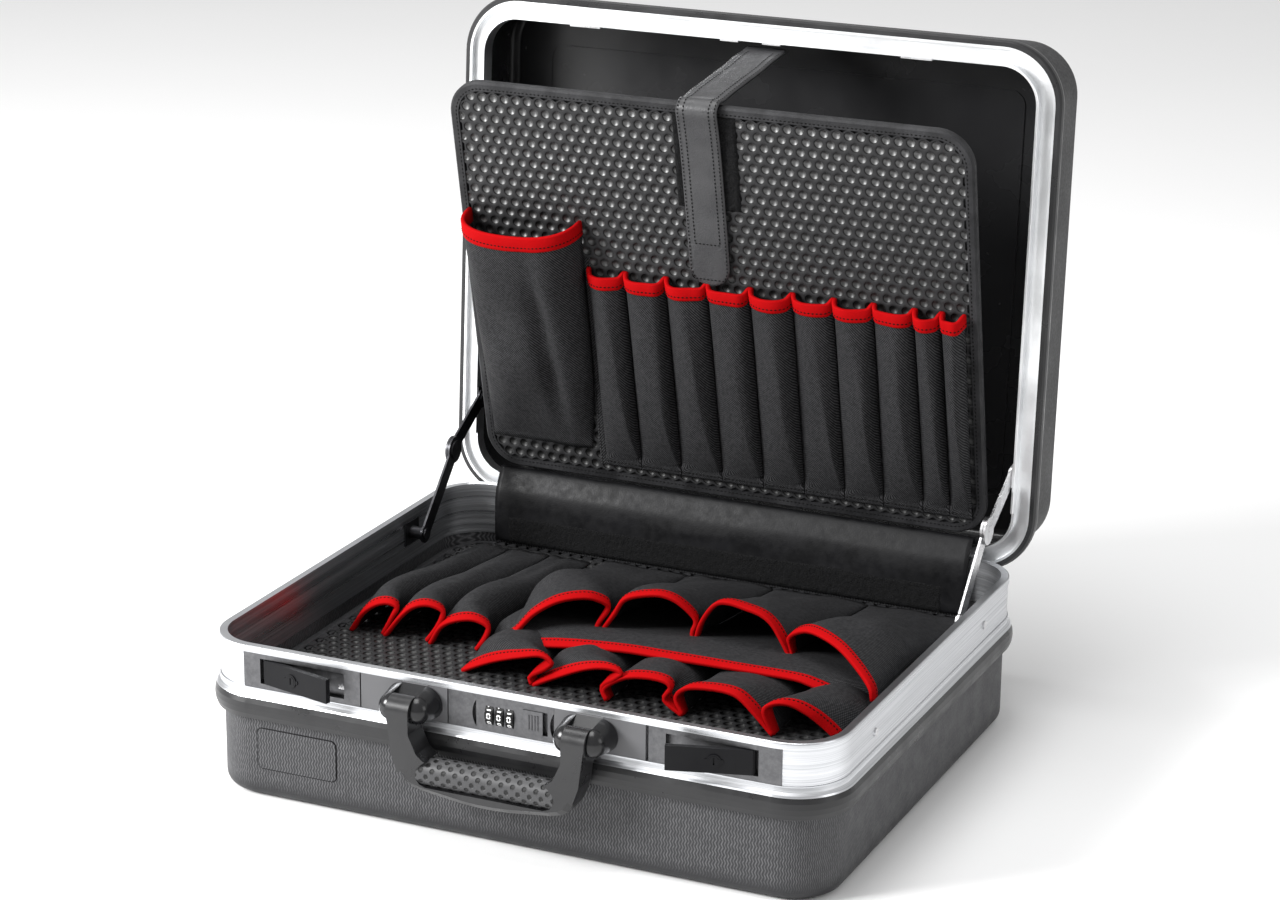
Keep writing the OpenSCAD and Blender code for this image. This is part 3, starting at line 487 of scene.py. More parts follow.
def zigzag_grain(name, dark, light, rough):
    """Moulded plastic with rows of fine zigzag ribs that run down the walls, smooth round the lower edge."""
    made = material(name, dark, rough, Specular_IOR_Level=0.35)
    along, height = round_the_case(made)
    bend = times(made, height, RIB_TURN / 2, "PINGPONG")
    bend = times(made, bend, 2 * RIB_BEND / RIB_TURN)
    wobble = times(made, noise(made, 60, detail=2), 0.5 * RIB_PITCH)
    place = times(made, times(made, along, bend, "ADD"), wobble, "ADD")
    rib = times(made, place, RIB_PITCH / 2, "PINGPONG")
    rib = to_range(made, rib, 0, 1, 0.1 * RIB_PITCH, 0.5 * RIB_PITCH)
    specks = to_range(made, noise(made, 420, detail=2), 0.55, 1.0, 0.35, 0.62)
    rib = times(made, rib, specks)
    rib = times(made, rib, to_range(made, height, 0, 1, 5, 16))
    vary_colour(made, rib, dark, light, 0.1, 0.9)
    vary_rough(made, noise(made, 60, detail=4), rough - 0.06, rough + 0.08)
    bump(made, [(rib, 0.55, 0.35), (noise(made, 1300), 0.15, 0.2)])
    return made


def metal(name, dark, light, rough, stretch, lines=0.3, **sockets):
    """Brushed or satin metal; the fine lines run along the axes that are scaled down."""
    made = material(name, light, rough, 1.0, **sockets)
    streaks = noise(made, 1.0, stretch, detail=6, rough=0.7)
    vary_colour(made, streaks, dark, light, 0.3, 0.7)
    vary_rough(made, noise(made, 1.0, tuple(s * 0.6 for s in stretch), detail=4), rough - 0.06, rough + 0.1)
    bump(made, [(streaks, lines, 0.05), (noise(made, 25, detail=2), 0.04, 1.0)])
    return made


def woven(name, dark, light, rough, pitch, gloss=0.12):
    """Twill: fine diagonal ribs crossed by threads."""
    made = material(name, dark, rough, Specular_IOR_Level=gloss)
    ribs = wave(made, pitch, 40)
    threads = wave(made, pitch * 0.8, -50)
    slubs = to_range(made, noise(made, 420, detail=3), 0.55, 1.0)
    weave = times(made, times(made, ribs, to_range(made, threads, 0.45, 1.0, 0, 1)), slubs)
    vary_colour(made, weave, dark, light, 0.05, 0.75)
    vary_rough(made, noise(made, 80), rough - 0.08, rough + 0.08)
    creases = noise(made, 140, detail=4)
    waves = noise(made, 28, detail=2)
    bump(made, [(weave, 0.5, 0.25), (creases, 0.25, 1.0), (waves, 0.25, 3.0)])
    return made


def leatherette(name, dark, light, rough, pitch, depth, gloss=0.45):
    """Supple sheet with a grain of small cells."""
    made = material(name, dark, rough, Specular_IOR_Level=gloss)
    cells = voronoi(made, pitch)
    vary_colour(made, noise(made, 45, detail=5), dark, light)
    vary_rough(made, noise(made, 160, detail=4), rough - 0.07, rough + 0.1)
    bump(made, [(cells, depth, 0.3), (noise(made, 90, detail=3), 0.25, 0.8)])
    return made


def dimpled_sheet(name, face, wall_shade, bowl):
    """Plastic sheet, matt on its face; its dimples' steep walls carry painted shade, near black, and their
    floors a stronger shine that is a painted highlight, strongest towards the upper left. The cloth
    coordinates hold the depth.
    """
    made = material(name, face, 0.5, IOR=1.6, Specular_IOR_Level=0.2)
    depth = split(made, PER_METRE, cloth=True)[0]
    # Painted shade: the steep walls of the dimples turn near black, where shade falls in them.
    upper = vary_colour(made, depth, face, wall_shade, 0.05, 0.3)
    bowl_floor = to_range(made, depth, 0, 1, 0.5, 0.85)
    colour_over(made, upper, bowl_floor, bowl)
    patches = to_range(made, noise(made, 60, detail=3), 0.42, 0.52)
    to_shader(made, "Roughness", times(made, patches, times(made, bowl_floor, 0.03), "ADD"))
    # Painted highlight: the floors' shine grows towards the board's upper left, where the highlights fall.
    x, _, z = split(made, 1)
    high = to_range(made, times(made, z, times(made, x, -0.2), "ADD"), 0.25, 1, 0.27, 0.40)
    shine = to_range(made, times(made, bowl_floor, high), 0.12, 1.1, 0, 1)
    to_shader(made, "Specular IOR Level", shine)
    bump(made, [(noise(made, 1300, detail=3), 0.15, 0.2)])
    return made


def fuzzy(name, dark, light):
    """Dark pile of fine hooks and loops."""
    made = material(name, dark, 0.95, Specular_IOR_Level=0.08)
    fibres = noise(made, 1400, detail=6, rough=0.8)
    vary_colour(made, fibres, dark, light, 0.3, 0.75)
    bump(made, [(fibres, 1.0, 1.2), (voronoi(made, 900), 0.6, 0.8)])
    return made


def in_front(name, front, back, rough, at):
    """Plastic in two tones, by how far it stands in front; at is where they meet, in millimetres."""
    made = moulded(name, front, front, rough, 0.05, 1500)
    y = split(made, PER_METRE)[1]
    vary_colour(made, y, front, back, at - 0.3, at + 0.3)
    to_shader(made, "Roughness", to_range(made, y, rough, rough + 0.2, at - 0.3, at + 0.3))
    return made


def lid_skin(name, middle, gloss, grain):
    """Shiny inside and grained outside; middle is a point inside the lid, in metres."""
    made = material(name, gloss, 0.25, Specular_IOR_Level=0.5)
    source = node(made, "ShaderNodeTexCoord").outputs
    away = node(made, "ShaderNodeVectorMath", {0: source["Object"]}, {1: middle}, operation="SUBTRACT")
    both = {0: away.outputs["Vector"], 1: source["Normal"]}
    facing = node(made, "ShaderNodeVectorMath", both, operation="DOT_PRODUCT").outputs["Value"]
    outside = to_range(made, facing, 0, 1, -0.002, 0.002)
    under = vary_colour(made, outside, gloss, grain, 0, 1)
    specks = to_range(made, noise(made, 420, detail=2), 0, 0.8, 0.42, 0.66)
    colour_over(made, under, times(made, specks, outside), (0.045, 0.045, 0.047))
    worn = to_range(made, noise(made, 18, detail=3), 0.2, 0.3)
    to_shader(made, "Roughness", times(made, worn, times(made, outside, 0.26), "ADD"))
    pebbles = times(made, noise(made, 700, detail=3), outside)
    bump(made, [(pebbles, 0.5, 0.4), (noise(made, 12, detail=2), 0.05, 2.0)])
    return made


def sewing_thread(name, colour, gloss, low, high):
    made = material(name, colour, low, Specular_IOR_Level=gloss)
    vary_rough(made, noise(made, 900), low, high)
    return made


def dotted_rubber(name, colour, dark, centre, radius, pitch):
    """Rubber with staggered round dimples, laid out along the grip and round it; painted shade darkens the
    dimples.
    """
    made = material(name, colour, 0.42, Specular_IOR_Level=0.4)
    x, y, z = split(made, PER_METRE)
    rise = times(made, z, centre[1], "SUBTRACT")
    ahead = times(made, centre[0], y, "SUBTRACT")
    round_it = times(made, times(made, rise, ahead, "ARCTAN2"), radius)
    flat = node(made, "ShaderNodeCombineXYZ", {"X": x, "Y": round_it}).outputs["Vector"]
    turned = {"Rotation": (0, 0, math.pi / 4), "Scale": (1 / pitch, 1 / pitch, 1)}
    flat = node(made, "ShaderNodeMapping", {"Vector": flat}, turned).outputs["Vector"]
    values = {"Scale": 1, "Randomness": 0}
    cell = node(made, "ShaderNodeTexVoronoi", {"Vector": flat}, values, voronoi_dimensions="2D")
    hole = to_range(made, cell.outputs["Distance"], 1, 0, 0.2, 0.34)
    # Painted shade: the colour goes near black in the dimples, where shade falls in them.
    vary_colour(made, hole, colour, dark, 0.5, 1)
    vary_rough(made, noise(made, 90, detail=3), 0.38, 0.5)
    bump(made, [(times(made, hole, -1), 0.9, 1.4), (noise(made, 1300), 0.15, 0.2)])
    return made


LID_MIDDLE = (0, 0.24, 0.30)
GRIP_AXIS = (-212, 55.4)
HOOD_FACE = -195.4
SHEET_FACE = (0.024, 0.024, 0.025)
finish = {
    "tub": zigzag_grain("grained_plastic", (0.022, 0.022, 0.024), (0.11, 0.11, 0.115), 0.5),
    "collar": moulded("satin_plastic", (0.012, 0.012, 0.013), (0.020, 0.020, 0.021), 0.33, 0.1, 1200),
    "edge": metal("edge_strip_metal", (0.20, 0.20, 0.21), (0.34, 0.34, 0.35), 0.4, (6, 6, 900)),
    "frame": metal("brushed_aluminium", (0.42, 0.43, 0.45), (0.80, 0.81, 0.83), 0.33, (4, 4, 1100), 0.6),
    "lid_frame": metal("satin_aluminium", (0.76, 0.77, 0.78), (0.86, 0.87, 0.88), 0.34, (40, 40, 40), 0.08),
    "plate": metal("satin_plate", (0.10, 0.10, 0.105), (0.15, 0.15, 0.155), 0.42, (250, 250, 250), 0.2),
    "lever": moulded("lever_plastic", (0.005, 0.005, 0.006), (0.009, 0.009, 0.010), 0.4, 0.12, 1500, 0.12),
    "steel": metal("bright_steel", (0.55, 0.55, 0.56), (0.80, 0.80, 0.81), 0.28, (120, 120, 120), 0.15),
    # Painted shade: a darker copy of the steel for the left stays, which stand in shade.
    "steel_in_painted_shade": metal("steel_in_painted_shade", (0.05, 0.05, 0.055), (0.09, 0.09, 0.095), 0.35, (120, 120, 120), 0.15),
    "handle": moulded("handle_plastic", (0.009, 0.009, 0.010), (0.015, 0.015, 0.016), 0.3, 0.1, 1500, 0.5),
    # The grip's near-black second colour is painted shade in its dimples.
    "grip": dotted_rubber("grip_rubber", (0.050, 0.050, 0.052), (0.002, 0.002, 0.002), GRIP_AXIS, 10.3, 6.1),
    "hood": in_front("hood_plastic", (0.010, 0.010, 0.011), (0.105, 0.105, 0.11), 0.22, HOOD_FACE),
    "dial": moulded("dial_plastic", (0.004, 0.004, 0.004), (0.008, 0.008, 0.008), 0.4, 0.1, 1500, 0.2),
    "digit": moulded("digit_paint", (0.75, 0.75, 0.75), (0.85, 0.85, 0.85), 0.5, 0.1, 1500),
    "cloth": woven("pocket_twill", (0.004, 0.004, 0.0045), (0.062, 0.062, 0.065), 0.75, 1.6),
    "hem": woven("red_tape", (0.34, 0.002, 0.003), (0.62, 0.004, 0.005), 0.8, 1.3, 0.04),
    "hem_thread": sewing_thread("hem_thread", (0.020, 0.002, 0.002), 0.1, 0.7, 0.9),
    "thread": sewing_thread("black_thread", (0.002, 0.002, 0.002), 0.15, 0.65, 0.85),
    # The board's near-black second colour is painted shade on the dimples' walls.
    "board": dimpled_sheet("board_sheet", SHEET_FACE, (0.001, 0.001, 0.001), (0.016, 0.016, 0.016)),
    "binding": leatherette("binding_tape", (0.010, 0.010, 0.011), (0.028, 0.028, 0.030), 0.6, 650, 0.6, 0.25),
    "strap": leatherette("strap_leatherette", (0.030, 0.030, 0.032), (0.044, 0.044, 0.046), 0.42, 800, 0.3),
    "vinyl": leatherette("hinge_vinyl", (0.004, 0.004, 0.0045), (0.008, 0.008, 0.009), 0.46, 1200, 0.12, 0.2),
    "fuzz": fuzzy("hook_and_loop", (0.0008, 0.0008, 0.0008), (0.026, 0.026, 0.027)),
    "lid": lid_skin("lid_plastic", LID_MIDDLE, (0.017, 0.017, 0.018), (0.006, 0.006, 0.007)),
}

nodes_of = {
    "tub": "base_shell",
    "collar": "base_collar lid_collar",
    "edge": "base_edge_strip lid_edge_strip",
    "frame": "base_frame",
    "lid_frame": "lid_frame",
    "lid": "lid_shell",
    "plate": "latch_housing_l latch_housing_r lock_plate lock_slider",
    "lever": "latch_lever_l latch_lever_r key_cylinder_l key_cylinder_r",
    "steel": "lid_clips latch_bolt_l latch_bolt_r dial_axle handle_pin_l handle_pin_r band_rivets"
             " hinge_base_l hinge_base_r hinge_lid_l hinge_lid_r hinge_pin_l hinge_pin_r"
             " stay_bracket_base_r stay_bracket_lid_r stay_lower_r stay_upper_r",
    # The left stays take the steel's painted-shade copy.
    "steel_in_painted_shade": "stay_bracket_base_l stay_bracket_lid_l stay_lower_l stay_upper_l",
    "hood": "handle_bracket_l handle_bracket_r",
    "handle": "handle",
    "grip": "handle_grip",
    "dial": "dial_1 dial_2 dial_3",
    "binding": "lower_binding upper_binding",
}
for key, names in nodes_of.items():
    for name in names.split():
        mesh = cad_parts[name].data
        mesh.materials.clear()
        mesh.materials.append(finish[key])

# Digits of the number lock

DIAL_R = 9.6
DIAL_Y = -187.3
DIAL_Z = 96.05
DIALS = {"dial_1": (-8.9, "dial_left"), "dial_2": (-1.3, "dial_mid"), "dial_3": (6.3, "dial_right")}
DIGIT_W = 3.2
DIGIT_H = 4.3
STROKE = 0.95
PAINT = 0.04
SIX = [
    (1, 0.86), (0.8, 1), (0.2, 1), (0, 0.8), (0, 0.2), (0.2, 0),
    (0.8, 0), (1, 0.2), (1, 0.42), (0.8, 0.58), (0.1, 0.58),
]
FIVE = [(0.95, 1), (0.05, 1), (0.05, 0.58), (0.75, 0.6), (1, 0.4), (1, 0.2), (0.75, 0), (0.2, 0), (0, 0.16)]
THREE = [(0, 0.88), (0.2, 1), (0.75, 1), (0.95, 0.8), (0.95, 0.65), (0.75, 0.53), (0.35, 0.53)]
EIGHT_TOP = [
    (0.25, 0.53), (0.05, 0.7), (0.05, 0.85), (0.25, 1), (0.75, 1),
    (0.95, 0.85), (0.95, 0.7), (0.75, 0.53), (0.25, 0.53),
]
EIGHT_LOW = [(0.25, 0.53), (0, 0.35), (0, 0.18), (0.22, 0), (0.78, 0), (1, 0.18), (1, 0.35), (0.75, 0.53)]
# Strokes of each digit, in shares of its width and height
DIGITS = [
    [[(0.2, 0), (0, 0.22), (0, 0.78), (0.2, 1), (0.8, 1), (1, 0.78), (1, 0.22), (0.8, 0), (0.2, 0)]],
    [[(0.15, 0.76), (0.55, 1), (0.55, 0)], [(0.1, 0), (1, 0)]],
    [[(0, 0.85), (0.2, 1), (0.8, 1), (1, 0.8), (1, 0.62), (0, 0), (1, 0)]],
    [THREE, [(0.75, 0.53), (1, 0.38), (1, 0.18), (0.8, 0), (0.2, 0), (0, 0.13)]],
    [[(0.75, 0), (0.75, 1), (0, 0.3), (1, 0.3)]],
    [FIVE],
    [SIX],
    [[(0, 1), (1, 1), (0.35, 0)]],
    [EIGHT_TOP, EIGHT_LOW],
    [[(1 - x, 1 - y) for x, y in SIX]],
]


def flat_stroke(line):
    """Left and right edges of a stroke of even width along a line, with mitred bends."""
    size = np.array((DIGIT_W - STROKE, DIGIT_H - STROKE))
    p = np.array(line, float) * size - size / 2
    ahead = unit(np.diff(p, axis=0))
    closed = np.allclose(p[0], p[-1])
    first = ahead[-1] if closed else ahead[0]
    last = ahead[0] if closed else ahead[-1]
    before = np.concatenate([[first], ahead])
    after = np.concatenate([ahead, [last]])
    way = unit(before + after)
    stretch = 1 / np.maximum((way * after).sum(axis=1), 0.5)
    if not closed:
        p[0] -= ahead[0] * STROKE / 2
        p[-1] += ahead[-1] * STROKE / 2
    side = np.stack([-way[:, 1], way[:, 0]], axis=1) * (STROKE / 2 * stretch)[:, None]
    return p + side, p - side


def make_digits():
    """White digits painted round each dial, ten to a turn."""
    for node_name, (x, body) in DIALS.items():
        points = []
        faces = []
        for value, strokes in enumerate(DIGITS):
            turn = 2 * math.pi * value / len(DIGITS)
            for line in strokes:
                left, right = flat_stroke(line)
                for edge in (left, right):
                    angle = turn + edge[:, 1] / DIAL_R
                    points += np.stack([
                        x + edge[:, 0],
                        DIAL_Y - (DIAL_R + PAINT) * np.cos(angle),
                        DIAL_Z + (DIAL_R + PAINT) * np.sin(angle),
                    ], axis=1).tolist()
                n = len(left)
                start = len(points) - 2 * n
                faces += [(start + k, start + n + k, start + n + k + 1, start + k + 1) for k in range(n - 1)]
        new_object(node_name + "_digits", points, faces, finish["digit"], body, False)


make_digits()


# Floor

floor_material = material("pale_floor", (0.9, 0.9, 0.9), 0.8)
vary_rough(floor_material, noise(floor_material, 3), 0.66, 0.74)
FLOOR = 9000
FLOOR_Z = -0.3
corners = [(x * FLOOR, y * FLOOR, FLOOR_Z) for x, y in ((-1, -1), (1, -1), (1, 1), (-1, 1))]
floor = new_object("floor", corners, [(0, 1, 2, 3)], floor_material, None, False)


# Dark line round the blank panel on the front of the tub: painted shade along the panel's recessed edge

PANEL_HALF = (31, 14.8)
PANEL_R = 4
PANEL_X = -160.7
PANEL_Z = 38.2
LINE_SECTION = [(-0.5, -0.3), (-0.5, 0.12), (0.4, 0.12), (0.4, -0.3)]


def panel_edge_shade():
    outline, outward = rounded_outline(*PANEL_HALF, PANEL_R, -0.3)
    n = len(outline)
    line = np.stack([outline[:, 0] + PANEL_X, np.full(n, -TUB_FRONT), outline[:, 1] + PANEL_Z], axis=1)
    inward = np.stack([-outward[:, 0], np.zeros(n), -outward[:, 1]], axis=1)
    ahead = np.tile([0, -1.0, 0], (n, 1))
    band, _ = band_along("panel_edge_shade", line, ahead, inward, LINE_SECTION, finish["lever"], "base", True)


panel_edge_shade()


# Boards with rows of dimples

PITCH = 9.4
ROW = 8.35
# Radius and depth of a dimple's rings, in millimetres
DIMPLE = [(3.7, 0.0), (3.55, 0.12), (3.42, 0.45), (2.7, 0.98), (1.9, 1.48), (1.1, 1.85), (0.5, 2.0)]
DIMPLE_DEPTH = 2.05
CORNERS = 12
FACE_INSET = 5.0
# Inset and height of the slab's rings behind the face
SLAB_RINGS = [(0.6, -2.2), (0.0, -2.7), (0.0, 0.6 - BOARD_T), (0.6, -BOARD_T)]


def dimple_board(name, half_x, half_y, r, first_row, place, node_name, body):
    """A rounded board: a face of six-sided cells with a dimple in each, and a plain back and rim."""
    h1 = 2 * ROW / 3
    h2 = ROW / 3
    hexagon = [(PITCH / 2, -h2), (PITCH / 2, h2), (0, h1), (-PITCH / 2, h2), (-PITCH / 2, -h2), (0, -h1)]
    border = []
    for k in range(6):
        a, b = hexagon[k], hexagon[(k + 1) % 6]
        border += [a, ((a[0] + b[0]) / 2, (a[1] + b[1]) / 2)]
    start = math.atan2(border[0][1], border[0][0])
    rings = [[(x, y, 0.0) for x, y in border]]
    angles = [start + k * 2 * math.pi / CORNERS for k in range(CORNERS)]
    for radius, depth in DIMPLE:
        rings.append([(radius * math.cos(a), radius * math.sin(a), -depth) for a in angles])
    cell = np.array([p for ring in rings for p in ring] + [(0, 0, -DIMPLE_DEPTH)])
    last = (len(rings) - 1) * CORNERS
    cell_faces = [(a, d, c, b) for a, b, c, d in quads(len(rings), CORNERS, closed=True)]
    cell_faces += [(last + k, last + (k + 1) % CORNERS, len(cell) - 1) for k in range(CORNERS)]
    points = []
    faces = []
    limit = r - FACE_INSET
    rows = int(2 * half_y / ROW) + 2
    columns = int(half_x / PITCH) + 2
    for j in range(-rows, rows + 1):
        y = first_row - j * ROW
        for i in range(-columns, columns + 1):
            x = i * PITCH + (j % 2) * PITCH / 2
            qx = max(abs(x) - (half_x - FACE_INSET - limit), 0)
            qy = max(abs(y) - (half_y - FACE_INSET - limit), 0)
            if math.hypot(qx, qy) > limit:
                continue
            faces += [tuple(len(points) + k for k in f) for f in cell_faces]
            points += (cell + (x, y, 0)).tolist()
    points = np.array(points)
    depths = np.stack([-points[:, 2], np.zeros(len(points))], axis=1)
    placed = place(points[:, 0], points[:, 1], points[:, 2])
    face = new_object(name + "_face", placed, faces, finish["board"], body, uv=depths)
    size = (half_x - BINDING + 0.5, half_y - BINDING + 0.5, r - BINDING)
    slab = []
    for inset, level in SLAB_RINGS:
        ring, _ = rounded_outline(*size, inset, 6)
        slab += [(x, y, level) for x, y in ring]
    slab = np.array(slab)
    n = len(ring)
    slab_faces = [(a, d, c, b) for a, b, c, d in quads(len(SLAB_RINGS), n, closed=True)]
    slab_faces += [tuple(range(n)), tuple(range(4 * n - 1, 3 * n - 1, -1))]
    placed = place(slab[:, 0], slab[:, 1], slab[:, 2])
    no_depth = np.zeros((len(slab), 2))
    back = new_object(name + "_back", placed, slab_faces, finish["board"], body, False, no_depth)
    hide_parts(node_name)


def upper_place(x, y, w):
    return on_board(x, y + UPPER_H / 2, w)


UPPER_FIRST = 313.5 - UPPER_H / 2
LOWER_FIRST = 160.0
upper_size = (UPPER_W / 2, UPPER_H / 2, UPPER_R)
lower_size = (219, 182, 27)
dimple_board("upper_board_dimpled", *upper_size, UPPER_FIRST, upper_place, "upper_board", "board")
dimple_board("lower_board_dimpled", *lower_size, LOWER_FIRST, flat_up, "lower_board", "base")

# Stitching round the upper binding
SEAM_INSET = 5.2
seam_line, _ = rounded_outline(*upper_size, SEAM_INSET, 12, (0, UPPER_H / 2))
seam_line = np.concatenate([seam_line, seam_line[:1]])
seam = on_board(seam_line[:, 0], seam_line[:, 1], 0.65)
seam_ways = np.tile(BOARD_OUT, (len(seam), 1))
stitched = stitches("upper_binding_stitches", [(seam, seam_ways)], finish["thread"], "board", pitch=3.2)


# Pockets

CLOTH_LIFT = 0.4
SEWN_AT = 0.68
SEWN_LIFT = 1.25
# Section of the folded tape: distance from the cloth's edge and height over the cloth
HEM_SECTION = [
    (-0.7, 0.0), (-0.5, 0.8), (0.4, 1.2), (7.6, 1.2), (8.6, 0.9), (8.7, 0.2),
    (8.7, -CLOTH - 0.2), (8.2, -CLOTH - 0.8), (0.4, -CLOTH - 0.9), (-0.5, -CLOTH - 0.3),
]


def scaled_section(section, width):
    """The hem's section with its long side set to a width."""
    long_side = max(a for a, _ in section)
    return [(a * width / long_side if a > 0 else a, b) for a, b in section]


def pocket_object(name, grid, body, hem_width, node_name):
    """Cloth from a grid whose first row is the mouth, with its red hem and the hem's stitches."""
    out = normals_of(grid)
    outward = BOARD_OUT if body == "board" else UP
    facing_in = (out[:, grid.shape[1] // 2] @ outward).mean() < 0
    if facing_in:
        out = -out
    points, faces, uv = thin_shell(grid, CLOTH, inward=not facing_in)
    cloth = new_object(name, points, faces, finish["cloth"], body, uv=uv)
    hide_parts(node_name)
    mouth = grid[0]
    inward = unit(grid[2] - grid[0])
    section = scaled_section(HEM_SECTION, hem_width)
    hem, _ = band_along(name + "_hem", mouth, out[0], inward, section, finish["hem"], body)
    sewn = [(mouth + inward * hem_width * SEWN_AT + out[0] * SEWN_LIFT, out[0])]
    threads = stitches(name + "_hem_stitches", sewn, finish["hem_thread"], body, 3.0, 2.5, 1.4, 0.4)
    declare_cloth(grid)


def power_arch(x0, x1, height, power, count, ridge=0.5):
    """Arch from x0 to x1, highest at that share of the way: across and height."""
    a = np.linspace(0, math.pi, count)
    c, s = np.cos(a), np.sin(a)
    side = -np.sign(c) * np.abs(c) ** (2 / power)
    share = np.where(side < 0, ridge + ridge * side, ridge + (1 - ridge) * side)
    return x0 + (x1 - x0) * share, height * np.maximum(s, 0) ** (2 / power)


def soft_noise(shape, knots, size, seed):
    """Smooth random heights over a grid, zero along its side edges."""
    down, along = knots[0] + 3, knots[1] + 3
    source = np.random.default_rng(seed).normal(0, 1, (down, along))
    r = np.linspace(0, knots[0], shape[0])
    c = np.linspace(0, knots[1], shape[1])
    rows = np.stack([np.interp(r, np.arange(down), source[:, k]) for k in range(along)], axis=1)
    both = np.stack([np.interp(c, np.arange(along), row) for row in rows])
    for _ in range(6):
        smooth_rows(both, 1)
        smooth_rows(both.T, 1)
    fade = np.sin(np.linspace(0, math.pi, shape[1])) ** 0.7
    return both * fade * size


# The sixth pocket lies over the tallest pocket of the lower board when the lid is shut, so it is flatter
FLAT_POCKET = 5
FLAT_SHARE = 0.84
UPPER_X = [-103, -72.5, -39, -5, 29, 62.5, 95, 126, 157.5, 178.5, 196]
UPPER_HEM = 9.6
TIP_WIDTH = 1.8
TIP_RISE = 2.6
# Height up the board, arch height, roundness and where the arch is highest; flat below FLAT_BELOW
UPPER_STATIONS = [
    (181, 11.6, 2.3, 0.5), (170, 12.4, 1.9, 0.56), (140, 12.6, 1.6, 0.62),
    (90, 12, 1.5, 0.70), (50, 9, 1.5, 0.81), (34, 5.5, 1.6, 0.89),
    (24, 2.4, 2, 0.93), (21, 1.4, 2, 0.5), (14, 1.3, 6, 0.5),
]
FLAT_BELOW = 22


def upper_pocket(i):
    x0 = UPPER_X[i] + 0.3
    x1 = UPPER_X[i + 1] - 0.3
    count = 25
    rows = []
    for v, height, power, ridge in UPPER_STATIONS:
        if i == FLAT_POCKET:
            height = height * FLAT_SHARE
        across, rise = power_arch(x0, x1, height, power, count, ridge)
        if v < FLAT_BELOW:
            rise = np.full(count, height)
            rise[0] = rise[-1] = 0.3
        rows.append(np.stack([across, np.full(count, v), rise], axis=1))
    rows = np.array(rows)
    grid = np.stack([smooth_column(rows[:, k], UPPER_STATIONS, 36) for k in range(count)], axis=1)
    fold = soft_noise(grid.shape[:2], (3, 7), 1.5, 40 + i)
    share = np.clip((grid[:, :, 1] - 25) / 60, 0, 1)
    grid[:, :, 2] = np.maximum(grid[:, :, 2] + fold * share, 0.25)
    tip = sum(np.exp(-((grid[:, :, 0] - x) / TIP_WIDTH) ** 2) for x in (x0, x1))
    near_mouth = np.clip((grid[:, :, 1] - 165) / 16, 0, 1)
    grid[:, :, 1] += TIP_RISE * tip * near_mouth
    world = on_board(grid[:, :, 0], grid[:, :, 1], grid[:, :, 2] + CLOTH_LIFT)
    name = f"upper_pocket_{i + 1}"
    pocket_object(name, world, "board", UPPER_HEM, "upper_pockets")


def smooth_column(column, stations, count):
    """One column of a pocket, smooth through its stations and evenly spaced by the first value."""
    v = np.array([s[0] for s in stations], float)
    order = np.argsort(v)
    want = np.concatenate([np.linspace(v.max(), 30, count - 8), np.linspace(27, v.min(), 8)])
    base = np.interp(want, v[order], column[order, 0])
    rise = np.interp(want, v[order], column[order, 2])
    smooth_rows(rise[:-7], 3)
    return np.stack([base, want, rise], axis=1)


for i in range(len(UPPER_X) - 1):
    upper_pocket(i)


POUCH_LEFT = -198.8
POUCH_RIGHT = -105.9
POUCH_TOP = 217.5
POUCH_FOOT = 26
POUCH_HEM = 11.5
# Height up the board, arch height and roundness
POUCH_STATIONS = [
    (POUCH_TOP, 33, 3.0), (200, 33, 2.9), (170, 30, 2.7), (130, 25, 2.5), (90, 19, 2.3),
    (60, 12, 2.2), (40, 6, 2.2), (30, 2.2, 2.2), (POUCH_FOOT, 1.2, 2.2),
]
CREASE_DEPTH = 7.0
CREASE_WIDTH = 0.07


def make_pouch():
    count = 33
    rows = []
    for v, height, power in POUCH_STATIONS:
        narrow = 8.4 * max(0, (120 - v) / 94) ** 2
        across, rise = power_arch(POUCH_LEFT, POUCH_RIGHT - narrow, height, power, count, 0.48)
        rows.append(np.stack([across, np.full(count, float(v)), rise], axis=1))
    rows = np.array(rows)
    v = np.array([s[0] for s in POUCH_STATIONS])[::-1]
    want = np.linspace(POUCH_TOP, POUCH_FOOT, 48)
    grid = np.zeros((48, count, 3))
    for k in range(count):
        column = rows[::-1, k]
        grid[:, k, 0] = np.interp(want, v, column[:, 0])
        grid[:, k, 2] = np.interp(want, v, column[:, 2])
    smooth_rows(grid[:, :, 2], 4)
    grid[:, :, 1] = want[:, None]
    across = (grid[:, :, 0] + 199) / 93
    down = (POUCH_TOP - grid[:, :, 1]) / 190
    crease = -CREASE_DEPTH * np.exp(-((across - 0.62 - 0.1 * down) / CREASE_WIDTH) ** 2)
    crease = crease * np.clip(down * 3, 0, 1) * np.clip((1 - down) * 3, 0, 1)
    fold = soft_noise(grid.shape[:2], (5, 6), 2.0, 77)
    grid[:, :, 2] = np.maximum(grid[:, :, 2] + crease + fold * np.clip(down * 4, 0, 1), 0.3)
    dip = 4 * ((across - 0.5) * 2) ** 2
    grid[:, :, 1] += dip * np.clip(1 - down * 5, 0, 1)
    world = on_board(grid[:, :, 0], grid[:, :, 1], grid[:, :, 2] + CLOTH_LIFT)
    pocket_object("pouch_cloth", world, "board", POUCH_HEM, "pouch")


make_pouch()


# The cloth edge between the pouch and the narrow pockets: where it lies across the board, and its height
SEAM_TAPE = [(-108, 0.2), (-107.4, 0.7), (-101.6, 0.7), (-101, 0.2)]
SEAM_X = (-106.2, -102.6)
FOOT_SEAM = 18.5


